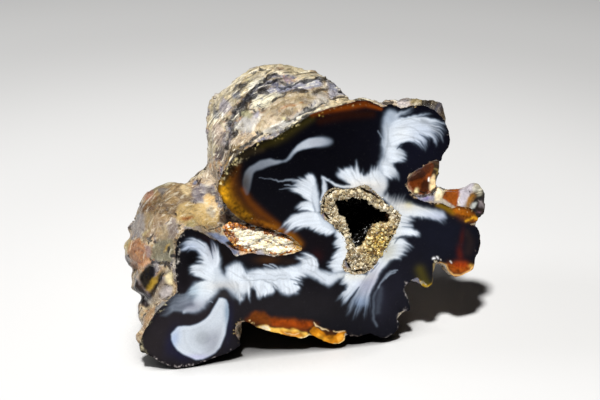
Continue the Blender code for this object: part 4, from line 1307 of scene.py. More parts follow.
# Patches of the rind as the camera sees them: outline, colour, strength.
RIND_PATCHES = [
    # the horn, from its back to its rim
    ([(206, 160), (208, 120), (218, 92), (240, 72), (266, 62), (292, 64), (318, 72), (336, 82),
      (320, 82), (300, 79), (284, 73), (268, 75), (255, 83), (243, 94), (233, 106), (226, 119),
      (222, 132), (218, 150)], (198, 184, 148), 0.85),
    ([(222, 96), (229, 99), (233, 107), (228, 113), (222, 118), (219, 108)], (150, 146, 160), 0.85),
    ([(214, 108), (220, 112), (220, 121), (214, 122)], (96, 108, 132), 0.8),
    ([(212, 125), (221, 124), (224, 134), (222, 146), (214, 144), (211, 136)], (178, 158, 146), 0.85),
    ([(216, 146), (224, 148), (222, 162), (214, 158)], (66, 38, 52), 0.85),
    ([(222, 133), (229, 130), (231, 140), (228, 152), (223, 160), (221, 150)], (140, 130, 128), 0.8),
    ([(270, 69), (278, 68), (284, 70), (285, 74), (276, 73)], (240, 224, 190), 0.85),
    ([(282, 75), (288, 76), (288, 82), (283, 81)], (132, 110, 134), 0.8),
    ([(246, 86), (256, 80), (266, 76), (268, 79), (258, 86), (249, 94)], (224, 220, 200), 0.8),
    ([(233, 92), (240, 89), (240, 95), (235, 98)], (104, 112, 136), 0.85),
    ([(244, 80), (254, 77), (252, 82), (245, 84)], (228, 212, 146), 0.8),
    ([(228, 122), (234, 111), (241, 102), (249, 93), (258, 86), (268, 80), (281, 77), (283, 82),
      (270, 86), (259, 92), (250, 99), (243, 108), (237, 117), (230, 129)], (58, 60, 82), 0.92),
    ([(262, 92), (268, 88), (282, 86), (296, 83), (308, 79), (322, 79), (324, 86), (312, 88),
      (298, 90), (284, 92), (272, 94)], (146, 152, 178), 0.88),
    ([(250, 106), (252, 98), (262, 95), (272, 93), (284, 95), (276, 100), (268, 106), (262, 110),
      (252, 108)], (230, 224, 196), 0.9),
    ([(240, 116), (242, 111), (248, 109), (252, 113), (249, 119), (243, 120)], (160, 158, 118), 0.9),
    ([(230, 131), (238, 121), (246, 118), (258, 115), (262, 112), (259, 122), (254, 131),
      (244, 131)], (198, 194, 186), 0.9),
    ([(252, 111), (259, 112), (257, 118), (251, 117)], (146, 146, 168), 0.85),
    ([(260, 120), (265, 110), (272, 103), (280, 98), (286, 93), (296, 90), (310, 91), (319, 95),
      (312, 102), (301, 108), (290, 116), (280, 124), (268, 131), (260, 132), (255, 128)],
     (166, 147, 112), 0.92),
    ([(262, 124), (270, 118), (280, 116), (286, 118), (278, 126), (268, 130)], (200, 180, 150), 0.8),
    ([(311, 95), (317, 90), (325, 87), (330, 90), (322, 93), (317, 98)], (52, 34, 22), 0.92),
    ([(312, 102), (320, 95), (328, 94), (330, 100), (318, 106)], (178, 172, 162), 0.85),
    ([(326, 80), (340, 84), (352, 92), (346, 97), (330, 97), (328, 88)], (150, 152, 168), 0.88),
    ([(260, 132), (272, 128), (284, 122), (296, 114), (308, 106), (318, 103), (310, 112),
      (296, 120), (284, 130), (270, 135)], (176, 174, 170), 0.9),
    ([(229, 147), (231, 136), (240, 132), (256, 132), (258, 136), (250, 143), (240, 149)],
     (200, 176, 142), 0.9),
    ([(228, 152), (230, 145), (242, 143), (240, 149), (232, 156)], (128, 98, 36), 0.9),
    ([(220, 182), (223, 164), (229, 152), (238, 148), (246, 146), (242, 154), (232, 164),
      (226, 176), (222, 190)], (74, 58, 34), 0.9),
    # along the top of the face
    ([(330, 98), (348, 97), (370, 98), (380, 104), (360, 101), (344, 104), (330, 107)],
     (214, 196, 156), 0.88),
    ([(344, 90), (356, 91), (368, 94), (378, 97), (366, 98), (352, 96)], (236, 232, 214), 0.85),
    ([(370, 99), (384, 97), (398, 98), (404, 104), (388, 105), (378, 104)], (184, 166, 146), 0.88),
    ([(396, 99), (408, 100), (412, 104), (404, 108), (398, 105)], (186, 180, 184), 0.85),
    ([(408, 94), (428, 92), (437, 95), (437, 112), (424, 107), (412, 106)], (120, 104, 60), 0.92),
    ([(399, 92), (410, 92), (412, 100), (404, 103)], (124, 120, 124), 0.85),
    ([(433, 92), (444, 94), (450, 112), (448, 126), (440, 118), (436, 110)], (34, 28, 24), 0.96),
    ([(411, 104), (424, 104), (434, 109), (440, 116), (436, 114), (424, 108)], (22, 18, 16), 0.9),
    # the left lobe
    ([(136, 222), (142, 200), (150, 186), (164, 178), (180, 182), (196, 190), (190, 204),
      (172, 214), (160, 232), (144, 238)], (156, 134, 100), 0.88),
    ([(150, 188), (158, 181), (172, 179), (174, 184), (162, 187), (155, 192)], (168, 164, 138), 0.85),
    ([(142, 200), (145, 190), (152, 187), (154, 194), (148, 202)], (178, 130, 114), 0.9),
    ([(140, 206), (148, 202), (153, 204), (148, 211), (142, 213)], (112, 78, 44), 0.9),
    ([(132, 224), (137, 214), (144, 213), (146, 226), (142, 238), (133, 236)], (150, 150, 164), 0.88),
    ([(146, 214), (152, 208), (155, 216), (152, 230), (146, 232)], (150, 134, 100), 0.85),
    ([(157, 190), (164, 188), (168, 190), (162, 195)], (114, 122, 140), 0.85),
    ([(180, 186), (186, 182), (191, 186), (193, 190), (189, 198), (184, 193)], (230, 216, 180), 0.92),
    ([(192, 198), (192, 188), (200, 184), (212, 184), (216, 192), (214, 200), (206, 204),
      (198, 202)], (122, 126, 156), 0.9),
    ([(202, 188), (210, 186), (217, 192), (217, 200), (210, 198)], (66, 62, 78), 0.85),
    ([(200, 178), (208, 168), (216, 170), (218, 182), (208, 186)], (190, 172, 150), 0.85),
    ([(178, 206), (188, 201), (200, 204), (216, 206), (220, 216), (216, 226), (200, 226),
      (184, 226), (176, 218)], (230, 206, 146), 0.94),
    ([(203, 196), (208, 193), (214, 197), (216, 205), (208, 207), (203, 203)], (240, 208, 140), 0.9),
    ([(207, 209), (214, 208), (216, 214), (211, 218), (206, 214)], (188, 182, 164), 0.85),
    ([(179, 218), (184, 216), (190, 216), (193, 220), (186, 221)], (168, 104, 24), 0.95),
    ([(186, 222), (194, 221), (196, 226), (186, 227)], (178, 172, 124), 0.85),
    ([(218, 216), (224, 211), (230, 215), (240, 224), (240, 230), (228, 228), (220, 224)],
     (58, 22, 10), 0.95),
    ([(155, 240), (157, 228), (162, 224), (168, 226), (168, 238), (162, 242)], (198, 182, 152), 0.88),
    ([(167, 226), (171, 216), (176, 216), (178, 226), (174, 240), (168, 240)], (156, 148, 156), 0.9),
    ([(149, 258), (152, 246), (158, 240), (172, 240), (175, 250), (172, 262), (160, 262)],
     (140, 142, 122), 0.92),
    ([(153, 268), (156, 264), (162, 265), (161, 271), (156, 273)], (150, 150, 166), 0.88),
    ([(160, 272), (164, 266), (170, 268), (170, 272), (163, 277)], (172, 160, 140), 0.85),
    ([(121, 250), (123, 240), (128, 237), (133, 240), (131, 250), (126, 256)], (196, 180, 116), 0.9),
    ([(130, 242), (138, 238), (147, 242), (150, 254), (147, 264), (138, 270), (130, 264),
      (127, 254)], (190, 134, 84), 0.92),
    ([(144, 244), (150, 244), (150, 256), (146, 258)], (160, 146, 162), 0.85),
    ([(142, 266), (146, 261), (151, 263), (149, 267)], (232, 184, 154), 0.9),
    ([(151, 300), (156, 288), (161, 280), (168, 281), (174, 286), (173, 294), (165, 299),
      (158, 304)], (150, 142, 138), 0.94),
    ([(148, 293), (153, 284), (158, 275), (162, 271), (161, 280), (156, 290), (151, 300)],
     (28, 21, 16), 0.97),
    ([(140, 281), (139, 275), (143, 269), (148, 265), (154, 266), (155, 274), (153, 283),
      (149, 289), (146, 291), (143, 287)], (15, 13, 14), 0.98),
    ([(133, 286), (135, 277), (140, 281), (146, 290), (151, 299), (151, 307), (144, 308),
      (139, 301), (135, 294)], (34, 27, 29), 0.98),
    ([(146, 291), (150, 283), (156, 276), (159, 274), (156, 281), (151, 289), (147, 294)],
     (160, 128, 42), 0.94),
    ([(163, 281), (168, 272), (172, 269), (174, 286), (167, 284)], (240, 226, 180), 0.96),
    ([(160, 296), (164, 287), (171, 285), (174, 289), (170, 296), (164, 299)], (176, 168, 166), 0.92),
    ([(148, 302), (153, 296), (160, 300), (154, 306)], (168, 162, 152), 0.85),
    ([(154, 312), (162, 302), (170, 299), (174, 300), (166, 308), (156, 320)], (108, 120, 142), 0.92),
    ([(142, 322), (150, 308), (156, 310), (150, 322), (146, 332), (141, 334)], (176, 144, 108), 0.85),
    ([(136, 356), (138, 338), (142, 330), (144, 340), (142, 352)], (150, 140, 116), 0.88),
    # behind the left arm: the blue-grey strip
    ([(184, 229), (196, 227), (210, 231), (206, 234), (192, 232)], (166, 158, 152), 0.8),
    ([(206, 233), (216, 232), (226, 236), (233, 243), (238, 253), (235, 256), (230, 250),
      (222, 243), (212, 239)], (112, 124, 152), 0.97),
    # the ledge's golden rim
    ([(228, 226), (238, 222), (252, 226), (246, 230), (236, 231)], (150, 92, 30), 0.9),
    ([(284, 236), (296, 239), (306, 247), (303, 252), (294, 256), (291, 250), (294, 244)],
     (198, 146, 40), 0.92),
    ([(226, 244), (236, 250), (250, 256), (262, 257), (250, 252), (236, 244)], (190, 128, 44), 0.9),
    # the window
    ([(406, 188), (408, 178), (414, 172), (424, 166), (432, 159), (443, 159), (444, 172), (440, 186),
      (434, 194), (424, 196), (412, 194)], (98, 42, 8), 0.98),
    ([(422, 168), (430, 163), (434, 164), (433, 172), (430, 180), (426, 179), (425, 173)],
     (132, 62, 14), 0.85),
    ([(420, 184), (424, 180), (430, 181), (431, 188), (427, 192), (420, 190)], (48, 24, 14), 0.9),
    ([(433, 159), (443, 159), (444, 172), (441, 184), (436, 186), (433, 182), (432, 174)],
     (52, 38, 18), 0.95),
    ([(430, 190), (430.5, 184), (432, 178), (435, 175.5), (436.5, 180), (436, 186), (433, 190.5)],
     (238, 208, 158), 0.97),
    ([(413, 192), (415, 188.5), (419, 190), (418, 194), (414, 194)], (238, 220, 164), 0.94),
    ([(414, 194), (419, 193), (419, 198), (415, 198)], (46, 32, 22), 0.9),
    ([(418, 195), (428, 196), (433, 194), (435, 200), (424, 203), (416, 199)], (146, 150, 180), 0.95),
    ([(424, 195), (430, 196), (429, 201), (423, 200)], (100, 92, 160), 0.9),
    # the right lobe's facets
    ([(434, 201), (436, 191), (437, 183), (444, 184), (445, 196), (443, 200), (438, 201)],
     (250, 234, 194), 0.97),
    ([(432, 203), (440, 199), (449, 200), (457, 208), (446, 207)], (192, 184, 170), 0.95),
    ([(442.5, 197.5), (445, 190), (450, 186), (459, 187), (459.5, 196), (457, 207), (451, 205),
      (446, 200.5)], (140, 70, 12), 0.98),
    ([(458, 206), (459.5, 190), (466, 182), (475, 181), (475, 190), (469.5, 195), (467.5, 203),
      (462, 206)], (188, 182, 190), 0.97),
    ([(472, 188), (474, 180), (484, 182), (483, 190), (478, 195), (472, 194)], (164, 158, 138), 0.92),
    ([(467, 204), (470, 194), (476, 192), (478, 198), (474, 205), (469, 207)], (146, 98, 28), 0.94),
    ([(474, 206), (477, 194), (483, 189), (490, 198), (490, 212), (482, 222), (474, 219),
      (471, 211)], (24, 20, 19), 0.97),
    ([(472, 209), (474, 203), (478, 203), (477, 208)], (214, 218, 214), 0.9),
    ([(476, 190), (480, 188), (482, 193), (478, 194)], (206, 200, 176), 0.85),
    ([(480, 201), (483, 199), (485, 206), (481, 209)], (118, 110, 112), 0.85),
    ([(466, 226), (470, 224), (476, 222), (478, 228), (470, 230)], (42, 16, 14), 0.92),
    # the underside, painted in the shade it lies in
    ([(240, 326), (256, 330), (270, 335), (290, 338), (345, 345), (346, 352), (236, 352)],
     (14, 10, 9), 0.9),
]

# Lines on the rind, dark in its grooves or pale on its edges: points, half-widths, colour,
# strength and depth in mm.
RIND_LINES = [
    # the horn's growth rings
    ([(229, 124), (235, 111), (242, 101), (250, 92), (260, 84), (270, 75), (277, 73)],
     [1.2, 1.5, 1.5, 1.3, 1.2, 1.3, 0.9], (24, 25, 38), 0.95, 0.7),
    ([(232, 116), (240, 105), (248, 97), (256, 90), (264, 84)], [0.8] * 5, (118, 122, 142), 0.7, 0.0),
    ([(243, 106), (249, 99), (257, 94), (264, 90), (272, 88), (282, 87), (294, 84), (304, 80.5),
      (316, 78.5), (330, 79), (336, 83)], [1.4, 1.6, 1.5, 1.2, 1.0, 0.9, 0.9, 0.9, 0.9, 1.0, 1.0],
     (22, 22, 36), 0.92, 0.7),
    ([(268, 82), (276, 80), (284, 82), (290, 84)], [0.9, 1.0, 0.9, 0.7], (52, 50, 62), 0.85, 0.4),
    ([(240, 87), (247, 82), (253, 78)], [0.9, 1.0, 0.8], (70, 56, 50), 0.8, 0.4),
    ([(228, 94), (236, 87), (244, 83)], [0.8, 0.9, 0.7], (96, 84, 72), 0.7, 0.3),
    ([(252, 73), (260, 69), (267, 70)], [1.0, 1.2, 1.0], (110, 108, 100), 0.7, 0.3),
    ([(270, 68.5), (277, 67), (285, 67.5)], [0.8, 0.9, 0.8], (126, 70, 54), 0.75, 0.0),
    ([(218, 100), (214, 112), (212, 124)], [1.2, 1.3, 1.2], (126, 122, 112), 0.7, 0.2),
    ([(222, 121), (226, 121.5)], [1.0, 1.0], (140, 52, 40), 0.85, 0.0),
    ([(223, 114), (223, 118)], [1.2, 1.2], (250, 242, 226), 0.9, 0.0),
    ([(250, 101), (250, 105), (253, 107)], [0.9, 0.9, 0.7], (30, 26, 30), 0.85, 0.3),
    ([(255, 99), (259, 98.5), (262, 100)], [0.8, 1.1, 0.7], (96, 108, 142), 0.85, 0.0),
    ([(256, 106), (260, 107.5)], [0.7, 0.7], (70, 84, 110), 0.8, 0.0),
    ([(258, 93.5), (264, 92), (270, 92.5)], [0.8, 1.0, 0.7], (36, 34, 40), 0.85, 0.4),
    ([(240, 118), (240, 112), (245, 108), (252, 109), (254, 113)], [0.8, 0.9, 0.9, 0.9, 0.7],
     (92, 82, 40), 0.85, 0.4),
    ([(236, 120), (232, 128), (228, 136), (226, 150)], [0.9, 0.9, 0.9, 0.9], (72, 54, 44), 0.8, 0.5),
    ([(262, 112), (266, 106), (273, 102), (280, 98), (284, 95), (291, 91), (300, 89.5), (310, 91)],
     [1.0, 1.1, 1.0, 1.0, 1.4, 1.5, 1.2, 0.8], (96, 74, 34), 0.92, 0.5),
    ([(266, 118), (274, 111), (282, 105), (290, 101), (300, 98), (310, 96)],
     [0.5, 0.6, 0.6, 0.6, 0.6, 0.5], (140, 116, 76), 0.7, 0.2),
    ([(279, 111), (283, 107), (289, 105), (296, 104.5), (302, 101.5)],
     [0.9, 1.0, 0.9, 0.8, 0.7], (176, 112, 26), 0.9, 0.1),
    ([(262, 128), (266, 121), (274, 116)], [0.5, 0.6, 0.5], (112, 88, 56), 0.8, 0.3),
    ([(256, 130), (259, 124), (264, 116)], [0.8, 0.9, 0.8], (166, 140, 96), 0.7, 0.0),
    ([(283, 118), (286, 119.5)], [1.3, 1.2], (222, 210, 134), 0.85, 0.0),
    ([(304, 110), (307, 107.5), (309, 110)], [0.8, 0.9, 0.7], (74, 70, 60), 0.85, 0.3),
    ([(270, 128), (277, 125), (284, 122)], [0.6, 0.7, 0.5], (236, 236, 230), 0.85, -0.1),
    ([(286, 122), (294, 118), (303, 114), (312, 108), (322, 104), (330, 102)],
     [0.7, 0.7, 0.8, 0.7, 0.7, 0.6], (110, 110, 96), 0.8, 0.4),
    ([(281, 134), (289, 129), (296, 122), (305, 118), (313, 112.5), (324, 110), (336, 107),
      (348, 104)], [1.0, 1.1, 1.2, 1.2, 1.0, 0.8, 0.8, 0.7], (20, 16, 10), 0.92, 0.5),
    ([(282, 131), (290, 126), (297, 119.5), (305, 116), (314, 110), (324, 107), (334, 104)],
     [0.7, 0.8, 0.8, 0.7, 0.8, 0.9, 0.9], (240, 230, 190), 0.75, -0.15),
    ([(330, 99), (340, 99), (350, 99), (362, 100), (372, 102)], [0.7, 0.7, 0.8, 0.7, 0.6],
     (84, 52, 24), 0.85, 0.3),
    ([(340, 92), (346, 93)], [0.9, 0.8], (44, 44, 52), 0.85, 0.3),
    ([(356, 94), (362, 96), (368, 96)], [0.8, 0.8, 0.7], (50, 44, 40), 0.8, 0.3),
    ([(364, 102), (370, 103), (374, 106)], [1.3, 1.3, 0.9], (228, 170, 64), 0.85, 0.0),
    ([(384, 103), (390, 102), (396, 101)], [0.9, 0.9, 0.8], (80, 54, 28), 0.8, 0.3),
    ([(394, 98.5), (400, 100), (408, 99.5)], [0.8, 0.8, 0.8], (70, 66, 62), 0.75, 0.3),
    ([(410, 106), (414, 103.5), (420, 104.5), (428, 108)], [0.9, 1.0, 1.0, 0.9], (16, 14, 14), 0.9, 0.5),
    ([(418, 101), (426, 100.5), (433, 102)], [0.8, 0.8, 0.8], (70, 52, 18), 0.8, 0.3),
    ([(433, 104), (434, 108)], [1.0, 1.0], (222, 192, 60), 0.85, 0.0),
    # the left rim of the horn: gold and silver flecks in the dark
    ([(231, 138), (234, 135), (236, 133)], [1.6, 1.8, 1.2], (60, 36, 18), 0.9, 0.3),
    ([(221, 180), (224, 168), (230, 157)], [0.6, 0.7, 0.6], (224, 176, 84), 0.85, -0.15),
    ([(224, 184), (226, 172), (232, 160), (240, 152)], [0.7, 0.7, 0.8, 0.7], (26, 18, 12), 0.9, 0.4),
    ([(230, 170), (233, 162), (238, 156)], [0.8, 0.9, 0.7], (186, 182, 176), 0.85, -0.1),
    ([(227, 178), (230, 170)], [0.6, 0.7], (208, 190, 150), 0.8, -0.1),
    ([(244, 150), (250, 148), (258, 148), (266, 149)], [0.8, 0.8, 0.9, 0.7], (206, 196, 170), 0.8, -0.1),
    ([(240, 146), (248, 143), (256, 137), (262, 133)], [0.9, 0.9, 0.9, 0.8], (34, 26, 16), 0.9, 0.4),
    # the left lobe's folds and cracks
    ([(156, 198), (152, 210), (155, 222), (152, 234)], [0.9, 1.0, 0.9, 0.7], (128, 96, 62), 0.8, 0.4),
    ([(161, 196), (159, 208), (161, 220), (159, 230)], [0.8, 0.9, 0.9, 0.7], (104, 74, 44), 0.85, 0.5),
    ([(164, 198), (167, 196), (170, 197)], [1.0, 1.1, 0.8], (70, 46, 28), 0.85, 0.4),
    ([(174, 199), (177, 201), (175, 204)], [1.2, 1.3, 1.0], (58, 36, 20), 0.9, 0.5),
    ([(162, 211), (165, 208), (168, 212), (172, 210), (176, 212)], [0.9, 1.0, 0.8, 0.7, 0.7],
     (66, 44, 26), 0.85, 0.4),
    ([(164, 219), (162.5, 225), (164, 231)], [0.9, 1.1, 0.7], (30, 22, 20), 0.92, 0.6),
    ([(146, 206), (151, 200), (158, 197)], [1.0, 1.0, 0.8], (124, 88, 54), 0.8, 0.3),
    ([(142, 240), (147, 230), (150, 216)], [0.7, 0.8, 0.7], (118, 110, 100), 0.7, 0.3),
    ([(144, 234), (148, 230)], [1.2, 1.0], (226, 214, 160), 0.75, 0.0),
    ([(152, 247), (156, 244)], [0.7, 0.7], (240, 238, 220), 0.85, 0.0),
    ([(165, 250), (167, 246), (169, 245)], [1.2, 1.3, 0.9], (226, 192, 70), 0.9, 0.0),
    ([(168.5, 248), (169, 251)], [0.8, 0.8], (18, 14, 12), 0.92, 0.3),
    ([(149, 260), (152, 262.5), (157, 264), (162, 264.5)], [0.8, 0.8, 0.8, 0.7], (20, 18, 16), 0.95, 0.6),
    ([(164, 263), (168, 265), (170, 268)], [0.7, 0.8, 0.7], (22, 20, 18), 0.92, 0.5),
    ([(173, 255), (175, 257)], [1.3, 1.0], (24, 20, 18), 0.9, 0.3),
    ([(176, 258), (174, 263), (172.5, 269)], [1.0, 1.3, 0.9], (250, 248, 240), 0.92, -0.2),
    ([(152, 295), (158, 282), (163, 274)], [0.8, 0.9, 0.7], (24, 20, 18), 0.9, 0.5),
    ([(160, 297), (164, 299), (170, 296), (174, 293)], [0.8, 0.9, 0.9, 0.7], (18, 16, 16), 0.92, 0.5),
    ([(164, 285), (168, 287), (172, 286)], [0.5, 0.6, 0.5], (90, 84, 84), 0.8, 0.2),
    ([(129, 259), (131, 266), (137, 270), (143, 269)], [0.9, 1.0, 1.0, 0.8], (178, 132, 92), 0.8, 0.0),
    ([(131, 246), (137, 242), (143, 244), (146, 250)], [0.7, 0.8, 0.8, 0.7], (150, 92, 44), 0.8, 0.3),
    ([(132, 252), (138, 248), (142, 252), (140, 258)], [0.7, 0.8, 0.8, 0.7], (150, 88, 44), 0.8, 0.3),
    ([(134, 262), (140, 262), (145, 258)], [0.7, 0.8, 0.7], (160, 96, 60), 0.75, 0.2),
    ([(138, 279), (143, 287), (148, 295)], [0.5, 0.6, 0.5], (146, 132, 136), 0.8, 0.0),
    ([(146, 293), (146, 300), (145, 306)], [0.4, 0.5, 0.4], (120, 112, 112), 0.6, 0.0),
    ([(136, 286), (142, 298), (147, 306)], [0.5, 0.6, 0.5], (96, 90, 90), 0.6, 0.0),
    ([(138, 342), (139, 350)], [1.3, 1.3], (190, 166, 84), 0.75, 0.0),
    # the window's edge and glint
    ([(440, 161), (430, 163), (422, 168), (414, 173), (409, 177), (407.5, 184), (409, 190),
      (413, 191.5)], [0.5, 0.6, 0.6, 0.7, 0.7, 0.8, 0.8, 0.7], (170, 118, 90), 0.85, 0.0),
    ([(418, 190), (424, 193), (430, 192), (435, 188)], [0.8, 0.9, 0.9, 0.8], (24, 14, 8), 0.9, 0.3),
    ([(434, 169), (439, 170), (438, 175)], [0.8, 0.8, 0.8], (160, 140, 80), 0.75, 0.0),
    ([(434, 164), (438, 163), (440, 166)], [0.6, 0.7, 0.6], (96, 78, 40), 0.75, 0.0),
    ([(429.5, 179.2), (429.7, 181.4)], [0.8, 0.8], (252, 250, 244), 0.95, 0.0),
    ([(409, 177), (414, 174.5), (420, 171.5)], [0.5, 0.6, 0.5], (170, 122, 100), 0.8, 0.0),
    ([(412, 193), (418, 195.5), (425, 195.6), (432, 193), (436, 188)], [0.8, 0.9, 0.9, 1.0, 0.9],
     (24, 12, 6), 0.95, 0.2),
    ([(442.5, 198), (444.5, 191), (450, 189.6), (458, 190.5)], [0.4, 0.5, 0.5, 0.4],
     (232, 206, 150), 0.8, 0.0),
    ([(414, 196), (417, 195), (418, 198)], [0.9, 0.9, 0.8], (30, 18, 12), 0.9, 0.3),
    # the right lobe
    ([(444, 203), (450, 204), (456, 208), (460, 206)], [0.5, 0.6, 0.6, 0.5], (222, 212, 190), 0.85, 0.0),
    ([(459, 204), (459.5, 194)], [0.7, 0.7], (206, 198, 180), 0.85, -0.1),
    ([(472, 190), (476, 186), (480, 190)], [0.8, 0.9, 0.8], (236, 234, 220), 0.75, -0.1),
    ([(474, 194), (478, 192)], [0.8, 0.7], (96, 88, 70), 0.8, 0.3),
    ([(480, 200), (484, 203), (484, 208)], [0.7, 0.7, 0.7], (130, 122, 122), 0.75, -0.1),
    ([(478, 212), (482, 211)], [0.7, 0.7], (96, 70, 84), 0.8, 0.0),
    # the jagged hollow under the left foot
    ([(236, 326), (236, 334), (240, 342)], [0.7, 0.7, 0.7], (150, 128, 110), 0.75, -0.1),
    ([(241, 328), (241, 338)], [0.6, 0.6], (120, 86, 40), 0.7, -0.1),
    ([(246, 330), (244, 340)], [0.5, 0.5], (96, 80, 66), 0.65, 0.0),
]
# Parts of the rind that are clear and glassy, in the second material.
GLASSY = [
    [(406, 187), (408, 178), (414, 172), (424, 166), (432, 159), (443, 159), (443, 172), (438, 182),
     (437, 188), (430, 192), (420, 194), (411, 192)],
    [(434, 201), (437, 182), (444, 184), (450, 186), (459, 187), (466, 182), (475, 181), (475, 190),
     (469, 196), (466, 205), (456, 207), (450, 203), (443, 200)],
    [(467, 204), (470, 194), (475, 180), (484, 180), (494, 196), (494, 214), (484, 226), (472, 220)],
    [(133, 287), (135, 277), (140, 273), (144, 268), (150, 265), (155, 267), (155, 276), (162, 271),
     (161, 280), (155, 291), (151, 300), (151, 307), (144, 308), (137, 299)],
    [(206, 233), (216, 232), (226, 236), (233, 243), (238, 253), (235, 256), (230, 250), (222, 243)],
    [(163, 279), (168, 272), (172, 271), (173, 284), (168, 284)],
    [(158, 294), (162, 286), (170, 284), (174, 288), (170, 296), (163, 299)],
]


INK_BELOW = 112  # lines whose colour is darker than this also bleed as ink
LOBE_SHADE = (0.26, 0.34, 0.46)  # painted shade on the left lobe: how much of red, green and blue it loses, blue most, so it also turns warmer

# Where the skin is pulled across the picture before its relief: place, reach and shift in pixels.
PULLS = [
    ((131, 228), 6, (-3, 0)), ((127, 243), 7, (-5, 0)), ((129, 268), 6, (8, -1)),
    ((140, 288), 8, (-6, 0)), ((144, 304), 7, (-4, 0)), ((144, 318), 8, (-5, 0)),
    ((141, 335), 8, (-6, 0)), ((408, 101), 6, (0, -2)), ((420, 104), 8, (0, -5)),
    ((431, 106), 7, (3, -8)), ((438, 112), 6, (5, -9)), ((443, 120), 5, (2, -2)),
    ((437, 168), 7, (3.5, 0)), ((435, 179), 6, (2.5, 5)), ((445, 182), 6, (0, 7.5)),
    ((455, 183), 6, (0, 6.5)), ((464, 183), 5, (0, 4.5)), ((474, 187), 5, (3, -2)),
    ((479, 196), 7, (5, 0)), ((479, 208), 7, (5.5, 1)), ((478, 216), 5, (2, 0)),
]


def pulled(points):
    """The points shifted across the picture, keeping their distance from the camera."""
    pixels = to_pixels(points)
    shift, weight = np.zeros((len(points), 2)), np.full(len(points), 1e-9)
    for place, reach, move in PULLS:
        near = np.exp(-((pixels - place) ** 2).sum(axis=1) / reach ** 2)
        shift += near[:, None] * np.array(move)
        weight += near
    shift /= np.maximum(weight, 1.0)[:, None]
    shift *= (depth_of(points) > 0.5)[:, None]
    far = -((points - np.array(CAMERA)) @ np.array(BACKWARD))[:, None] / FOCAL
    return points + far * (shift[:, 0:1] * np.array(ACROSS) - shift[:, 1:2] * np.array(UPRIGHT))


def inside_box(pixels, box):
    x, y = pixels[:, 0], pixels[:, 1]
    return (x > box[0]) & (y > box[1]) & (x < box[2]) & (y < box[3])


def underside_shade(points, out):
    """How much painted shade each point takes as part of the underside, 0 to 1."""
    return np.clip(-out[:, 2] * 1.5, 0, 1) * np.clip(1.6 - points[:, 2] / 6.0, 0, 1)


def chip(point, size, seed):
    """Broken facets: a height, how near the next facet is, and the facet's own number."""
    reach, cells = noise.voronoi(point / size + seed)
    cell = cells[0]
    tilt = Vector((noise.noise(cell * 5.3), noise.noise(cell * 7.7), noise.noise(cell * 9.1)))
    rise = (point / size + seed - cell).dot(tilt) * 1.6
    number = noise.noise(cell * 11.3 + Vector((3, 3, 3)))
    return rise + 0.5 * number, reach[1] - reach[0], number


def rind_relief(point, depth, high):
    """Relief in mm of the rind at a point, how deep it is in a crack or pit (which is painted dark, partly
    as shade), and its facet's number.
    """
    warp = 1.5 * noise.noise(point / 7.0) + 0.8 * noise.noise(point / 2.6) + 0.3 * noise.noise(point)
    shingle = ((depth + warp * 1.6) / 2.3) % 1.0
    ledge = (shingle - 0.5) if shingle < 0.88 else (0.94 - shingle) * 7.3
    large, large_edge, number = chip(point, 3.1, Vector((4, 1, 7)))
    small, small_edge, other = chip(point, 1.2, Vector((1, 9, 3)))
    swirl = noise.noise(point / 1.5)
    pit = min(noise.noise(point / 2.3 + Vector((3, 8, 1))) + 0.34, 0.0)
    height = 0.75 * ledge * high + (1.0 - 0.6 * high) * 0.8 * large + 0.12 * small
    height += 0.14 * swirl + 1.2 * pit
    crack_shade = 0.8 * max(0.0, 1.0 - large_edge / 0.08) * (1 - 0.6 * high)
    crack_shade += high * 0.8 * max(0.0, 1.0 - abs(shingle - 0.97) / 0.07)
    crack_shade += 0.25 * max(0.0, 1.0 - small_edge / 0.08) - 1.5 * pit
    return height, crack_shade, 0.6 * number + 0.4 * other


def seen_in_picture(points, out):
    """Each point's pixel, and how squarely the camera sees it: 0 if turned away or off the canvas."""
    pixels = to_pixels(points)
    shown = np.clip((out @ np.array(BACKWARD)) * 3.0 + 0.8, 0.0, 1.0)
    return pixels, shown * inside_box(pixels, (LEFT, TOP, LEFT + WIDE, TOP + HIGH))


def refined(obj, box=None):
    """Splits the faces that the camera sees in four, or only those in a box of pixels."""
    points, out = points_of(obj), normals_of(obj)
    pixels, seen = seen_in_picture(points, out)
    chosen = (seen > 0.2) & (depth_of(points) > 0.3)
    if box:
        chosen &= inside_box(pixels, box)
    bm = bmesh.new()
    bm.from_mesh(obj.data)
    bm.verts.ensure_lookup_table()
    edges = [edge for edge in bm.edges if chosen[edge.verts[0].index] and chosen[edge.verts[1].index]]
    bmesh.ops.subdivide_edges(bm, edges=edges, cuts=1, use_grid_fill=True)
    bm.to_mesh(obj.data)
    bm.free()
    obj.data.update()


def relief_of(points, depth):
    """rind_relief for all the points: heights, cracks and facets' numbers."""
    highs = rising(points[:, 2], 32.0, 8.0)
    return np.array([
        rind_relief(Vector(point), back, high)
        for point, back, high in zip(points.tolist(), depth, highs)
    ]).T


